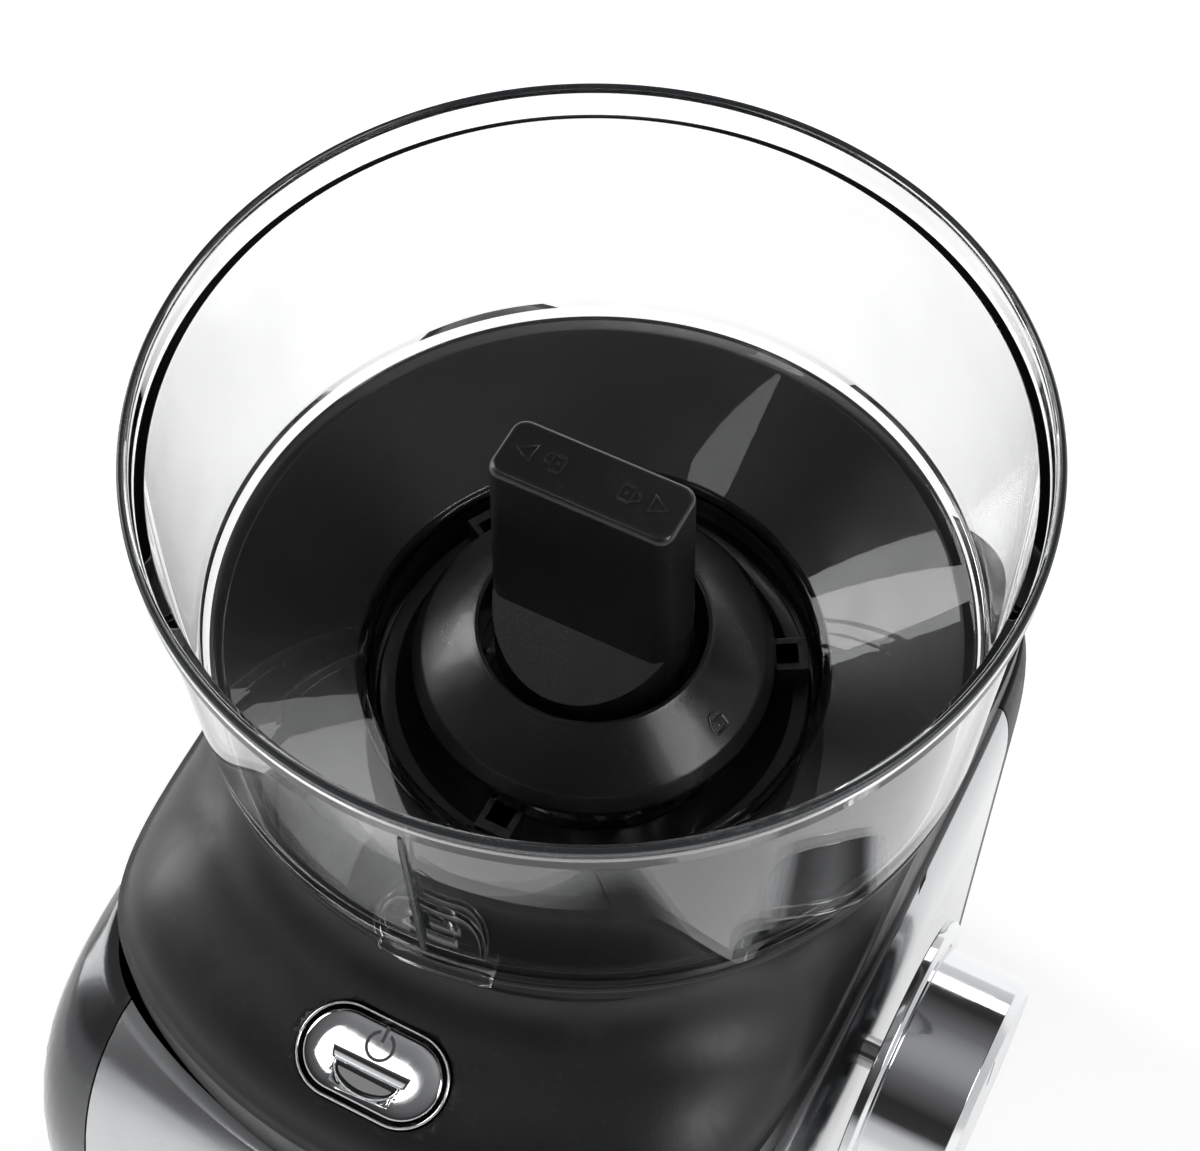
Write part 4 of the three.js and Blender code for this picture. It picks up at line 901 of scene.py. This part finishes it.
def buildPanels(s):
    b = bodyShape
    low, high = b["skinBottom"], panelTop
    strip = b["stripHalf"]
    left = skinBand("sidePanelLeft", b["skin"], 0, low, high)
    carve(left, halfBox(-200, -strip - 0.4, -200, b["panelRear"], 0, 200), "INTERSECT")
    onAxis(left)
    # the left side panel takes the darkened silver: painted shade standing in for a dark reflection, not a
    # paint of its own
    dressed(left, leftPanelPaintedShade, "frame", ["side_panel_left"], bevel=0.3)
    right = skinBand("sidePanelRight", b["skin"], 0, low, high)
    carve(right, halfBox(strip + 0.4, 200, -200, b["panelRear"], 0, 200), "INTERSECT")
    onAxis(right)
    bodyHalf = b["bodyHalf"]
    profile = [
        (7, bodyHalf - 2.5), (38, bodyHalf - 2.5), (36, bodyHalf + 0.25, 2), (32.6, bodyHalf + 1.4, 2),
        (31, bodyHalf + 3.4, 1), (30.7, bodyHalf + 4.4, 0.1), (30.35, bodyHalf + 4.6, 0.1),
        (30.6, bodyHalf + 4.9, 0.1), (30.4, 74.6, 0.5), (29.8, s["bossFace"], 0.3),
        (29.1, s["bossFace"], 0.2), (29.1, 74.4, 0.1),
        (7, 74.4)]
    boss = latheObject("bossBody", profile, 0.3, 160, 3)
    placed(boss, dialAxis)
    back = b["hoodHalf"] + 0.4
    narrow = [(7, back), (31.2, back), (31.2, bodyHalf + 2.6, 0.4), *profile[4:-1], (7, 74.4)]
    collar = latheObject("bossCollar", narrow, 0.3, 160, 3)
    placed(collar, dialAxis)
    carve(boss, halfBox(bodyHalf - 2.5, 90, -80, b["panelRear"], low, high), "INTERSECT")
    carve(collar, halfBox(b["hoodHalf"] + 0.2, 90, -80, b["panelRear"], high - 0.05, 190), "INTERSECT")
    raised = joined("dialBoss", boss, collar)
    onAxis(raised)
    dressed(right, silverPanel, "frame", ["side_panel_right"], bevel=0.3)
    dressed(raised, silverPanel, "frame")
    front = skinBand("frontPanel", b["skin"], 0, b["bayTop"] + 0.6, high)
    carve(front, halfBox(-strip, strip, -200, 0, 0, 200), "INTERSECT")
    onAxis(front)
    dressed(front, silverPanel, "frame", ["front_panel"], bevel=0.3)


buildPanels(panelSettings)


# rear housing with its vents

housingSettings = {
    "wallIn": 4.7, "slots": 7, "slotHeight": 3.2, "slotPitch": 8, "slotHalf": 24, "slotFirst": 60,
}


def buildHousing(s):
    b = bodyShape
    low, high = b["skinBottom"], panelTop
    outer = skinBand("rearHousing", s["wallIn"] + b["skin"], 0, low, high)
    carve(outer, halfBox(-200, 200, b["panelRear"] + 0.4, 200, 0, 200), "INTERSECT")
    for i in range(s["slots"]):
        z = s["slotFirst"] + i * s["slotPitch"]
        outline = roundedRect(-s["slotHalf"], s["slotHalf"], z, z + s["slotHeight"], 1.55, 6)
        slot = plateObject("slot", outline, -92, -62)
        placed(slot, spun(90, "X"))
        carve(outer, slot)
    hole = latheObject("inletHole", [(0, -20), (5.2, -20), (5.2, 20), (0, 20)], 0, 48, 1, closed=False)
    placed(hole, Matrix.Translation((0, 75 * mm, 38 * mm)) @ spun(90, "X"))
    carve(outer, hole)
    inner = skinBand("innerHousing", s["wallIn"] + b["skin"], s["wallIn"], low, high - 3)
    carve(inner, halfBox(-200, 200, -200, b["panelRear"] + 0.2, 0, 200), "INTERSECT")
    carve(inner, halfBox(-50.3, 50.3, -200, -60, 0, 118.3))
    shaft = latheObject("shaftHole", [(0, 50), (9, 50), (9, 80), (0, 80)], 0, 48, 1, closed=False)
    placed(shaft, dialAxis)
    carve(inner, shaft)
    onAxis(outer)
    onAxis(inner)
    dressed(outer, deepBlack, "frame", ["main_housing"], bevel=0.35)
    dressed(inner, deepBlack, "frame")


buildHousing(housingSettings)
print("panels and housing done")


# base and feet

baseSettings = {"bottom": 5.6, "top": 23.7, "footRadius": 8}


def buildBase(s):
    tray = skinLoft("baseTray", [
        (200, s["bottom"]), (5, s["bottom"]), (1.5, s["bottom"] + 3), (0.4, s["bottom"] + 6),
        (0.4, s["top"]), (3.2, s["top"]), (3.2, s["bottom"] + 3.6), (200, s["bottom"] + 3.6)],
        0.8, 4, closed=False)
    dressed(onAxis(tray), deepBlack, "frame", ["base_plate"])
    for i in range(1, 5):
        name = "rubber_foot_%d" % i
        footLow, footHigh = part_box(name)
        middle = (footLow + footHigh) / 2
        r = s["footRadius"]
        foot = latheObject("footPad%d" % i, [
            (0, 0), (2.6, 0), (3.2, 0.5), (4.6, 0.5), (5.2, 0), (r - 1, 0, 0.6), (r, 1, 0.5), (r, 6.6),
            (0, 6.6)],
            0.2, 64, 3, closed=False)
        placed(foot, Matrix.Translation((middle.x, middle.y, footLow.z)))
        dressed(foot, rubberBlack, "frame", [name])


buildBase(baseSettings)


# timer dial

dialSettings = {"radius": 24, "length": 17.4, "chamfer": 1.6, "pointer": 9}


def buildDial(s):
    onDial = Matrix.Translation(dialCentre) @ spun(90, "Y")
    r, h = s["radius"], s["length"] - 0.2
    side = latheObject("dialKnobShell", [
        (r - s["chamfer"] - 0.1, h - 0.25), (r - 2.4, h - 2), (r - 2.4, 0), (r, 0),
        (r, h - s["chamfer"], 0.35), (r - s["chamfer"], h, 0.25)], 0.2, 192, 4)
    dressed(placed(side, onDial), chromePlate, "dial", ["dial_knob"])
    cap = latheObject("dialFacePlate", [
        (0, h - 2.2), (r - 2.3, h - 2.2), (r - s["chamfer"] - 0.15, h - 0.4),
        (r - s["chamfer"] - 0.3, h - 0.02), (0, h - 0.02)], 0.1, 160, 3, closed=False)
    dressed(placed(cap, onDial), dialFace, "dial")
    hub = latheObject("dialHub", [(3.3, 3), (6, 3), (6, h - 2), (3.3, h - 2)], 0.2, 64)
    dressed(placed(hub, onDial), greyPlastic, "dial")
    pointer = plateObject("dialPointer", stadium(s["pointer"] / 2, 0.45, 8), h - 0.3, h + 0.02)
    place = onDial @ spun(180, "Z") @ Matrix.Translation((15 * mm, 0, 0))
    dressed(placed(pointer, place), greyPlastic, "dial")
    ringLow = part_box("dial_ring")[0]
    ring = latheObject("dialTrimRing", [
        (r + 0.6, 0), (28.7, 0), (28.8, 1.6, 0.5), (28, 2.4, 0.5), (r + 1.6, 2.6, 0.4), (r + 0.6, 2)],
        0.3, 192, 4)
    place = Matrix.Translation((ringLow.x, dialCentre.y, dialCentre.z)) @ spun(90, "Y")
    dressed(placed(ring, place), chromePlate, "frame", ["dial_ring"])


buildDial(dialSettings)


# grounds bin

binSettings = {"half": 47.6, "bottom": 26.6, "top": 113.6, "back": -20.2, "wall": 2}


def buildBin(s):
    b = bodyShape
    half, back, wall = s["half"], s["back"], s["wall"]
    outline = roundedRect(-half, half, -107.4, back, 6, 10)
    box = plateObject("groundsBinShell", outline, s["bottom"], s["top"])
    front = skinBand("binFront", b["skin"], 0.2, b["skinBottom"] + 0.4, 119.4)
    frontHalf = b["stripHalf"] - 0.3
    carve(front, halfBox(-frontHalf, frontHalf, -200, -60, 0, b["bayTop"]), "INTERSECT")
    carve(box, front, "UNION")
    rows = ((-104, wall + 2, 3.5, s["bottom"] + wall), (-105.4, wall + 0.6, 4.2, s["bottom"] + wall + 0.7),
            (-106, wall, 4.5, s["bottom"] + wall + 2.2), (-106, wall, 4.5, 140))
    hollow = stackObject("hollow", [
        (roundedRect(-half + inset, half - inset, depth, back - inset, corner, 10), z)
        for depth, inset, corner, z in rows])
    carve(box, hollow)
    onAxis(box)
    dressed(box, smokePlastic, "bin", ["grounds_bin"], bevel=0.4)
    capOutline = roundedRect(-half + 0.2, half - 0.2, -106.4, back - 0.2, 6, 10)
    cap = plateObject("binCapPlate", capOutline, s["top"] + 0.3, s["top"] + 2.1)
    hole = latheObject("capHole", [(0, 100), (13, 100), (13, 130), (0, 130)], 0, 64, 1, closed=False)
    placed(hole, Matrix.Translation((0, -50 * mm, 0)))
    carve(cap, hole)
    dressed(onAxis(cap), deepBlack, "bin", ["bin_cap"], bevel=0.5)
    grip = plateObject("binGripBar", roundedRect(-24, 24, -10, 3, 4, 12), 0, 16)
    carve(grip, plateObject("fingerRoom", roundedRect(-21.5, 21.5, -7.8, 6, 3, 10), -1, 13.6))
    placed(grip, Matrix.Translation((0, -110.1 * mm, 86 * mm)))
    carve(grip, halfBox(-40, 40, -130, -110.1, 0, 200), "INTERSECT")
    dressed(onAxis(grip), chromePlate, "bin", ["bin_grip"], bevel=0.6, bevelSteps=4)


buildBin(binSettings)


# mains inlet

def buildInlet():
    low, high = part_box("cord_inlet")
    middle = (low + high) / 2
    bush = latheObject("inletBush", [
        (2.6, -7), (4.8, -7), (4.8, -0.1), (7.4, 0), (7.2, 1.2, 0.3), (6.7, 1.5, 0.2), (6.6, 2.2, 0.2),
        (5.9, 2.4, 0.2), (5.6, 3.2, 0.3), (4.4, 3.6, 0.3), (2.6, 3.6)], 0.15, 64, 3)
    place = Matrix.Translation((middle.x, high.y - 3.6 * mm, middle.z)) @ spun(-90, "X")
    dressed(placed(bush, place), rubberBlack, "frame", ["cord_inlet"])


buildInlet()
print("base, dial, bin and inlet done")


# carried-over pieces

cadFinishes = {
    "grounds_bay": deepBlack, "burr_chamber": satinBlack, "grounds_chute": greyPlastic,
    "cone_burr": turnedSteel, "ring_burr": turnedSteel, "burr_nut": brushedSteel, "sweeper": nylonWhite,
    "lock_cam": brushedSteel, "neck_seal": rubberBlack, "gear_plate": brushedSteel,
    "gear_cover": deepBlack, "bearing_lower": brassTurned, "bearing_upper": brassTurned,
    "spindle": turnedSteel, "main_wheel": nylonWhite, "idler_gear": nylonWhite,
    "idler_pin": brushedSteel, "motor_pinion": brassTurned, "motor_shaft": brushedSteel,
    "motor_can": brushedSteel, "motor_cap": greyPlastic, "motor_rotor": copperWound,
    "commutator": copperWound, "motor_magnet_1": greyPlastic, "motor_magnet_2": greyPlastic,
    "button_spring": brushedSteel, "control_board": boardGreen, "button_switch": greyPlastic,
    "dial_shaft": brushedSteel, "timer_switch": greyPlastic,
}
for nodeName, material in cadFinishes.items():
    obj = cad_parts[nodeName]
    obj.data.materials.clear()
    obj.data.materials.append(material)
print("carried-over pieces:", len(cadFinishes))


# floor and light

stageSettings = {
    "floorHalf": 6.0, "floorColor": (0.86, 0.86, 0.855), "floorGlow": 0.58, "worldStrength": 1.0,
    # brightness of the surroundings by height of the direction looked in
    "bands": ((0.0, 0.7), (0.18, 0.6), (0.36, 0.04), (0.62, 0.03), (0.8, 0.1), (0.9, 0.16), (0.96, 0.26),
              (1.0, 0.34)),
}


def buildStage(s):
    h = s["floorHalf"]
    floor = meshObject("floor", [(-h, -h, 0), (h, -h, 0), (h, h, 0), (-h, h, 0)], [(0, 1, 2, 3)])
    floor.location.z = cadLow.z
    material = bpy.data.materials.new("paleFloor")
    material.use_nodes = True
    shader = material.node_tree.nodes["Principled BSDF"]
    shader.inputs["Base Color"].default_value = (*s["floorColor"], 1)
    shader.inputs["Roughness"].default_value = 0.7
    shader.inputs["Emission Color"].default_value = (1, 1, 1, 1)
    shader.inputs["Emission Strength"].default_value = s["floorGlow"]
    floor.data.materials.append(material)
    world = bpy.data.worlds.new("studio")
    bpy.context.scene.world = world
    world.use_nodes = True
    background = world.node_tree.nodes["Background"]
    background.inputs["Strength"].default_value = s["worldStrength"]
    links = world.node_tree.links
    direction = world.node_tree.nodes.new("ShaderNodeTexCoord")
    parts = world.node_tree.nodes.new("ShaderNodeSeparateXYZ")
    ramp = world.node_tree.nodes.new("ShaderNodeValToRGB")
    links.new(direction.outputs["Generated"], parts.inputs[0])
    links.new(parts.outputs["Z"], ramp.inputs["Fac"])
    links.new(ramp.outputs["Color"], background.inputs["Color"])
    for index, (height, level) in enumerate(s["bands"]):
        stop = ramp.color_ramp.elements[index] if index < 2 else ramp.color_ramp.elements.new(height)
        stop.position = height
        stop.color = (level, level, level * 1.02, 1)
    lamps = [
        ("softboxLeft", (-1.2, 0.0, 0.5), 0.5, 0.9, 9.0),
        ("softboxRight", (1.1, -0.1, 0.75), 0.5, 0.7, 6.0),
        ("softboxBack", (-0.1, 1.5, 0.5), 1.2, 0.4, 5.0),
        ("softboxFront", (-0.36, -0.58, 1.08), 0.2, 0.2, 0.4),
    ]
    target = worldPoint(0, 0, 190)
    for name, spot, width, depth, power in lamps:
        data = bpy.data.lights.new(name, "AREA")
        data.shape = "RECTANGLE"
        data.size = width
        data.size_y = depth
        data.energy = power
        lamp = bpy.data.objects.new(name, data)
        bpy.context.scene.collection.objects.link(lamp)
        lamp.location = target + Vector(spot)
        lamp.rotation_mode = "QUATERNION"
        lamp.rotation_quaternion = (-Vector(spot)).to_track_quat("-Z", "Y")
    bpy.context.scene.view_settings.view_transform = "Standard"


buildStage(stageSettings)
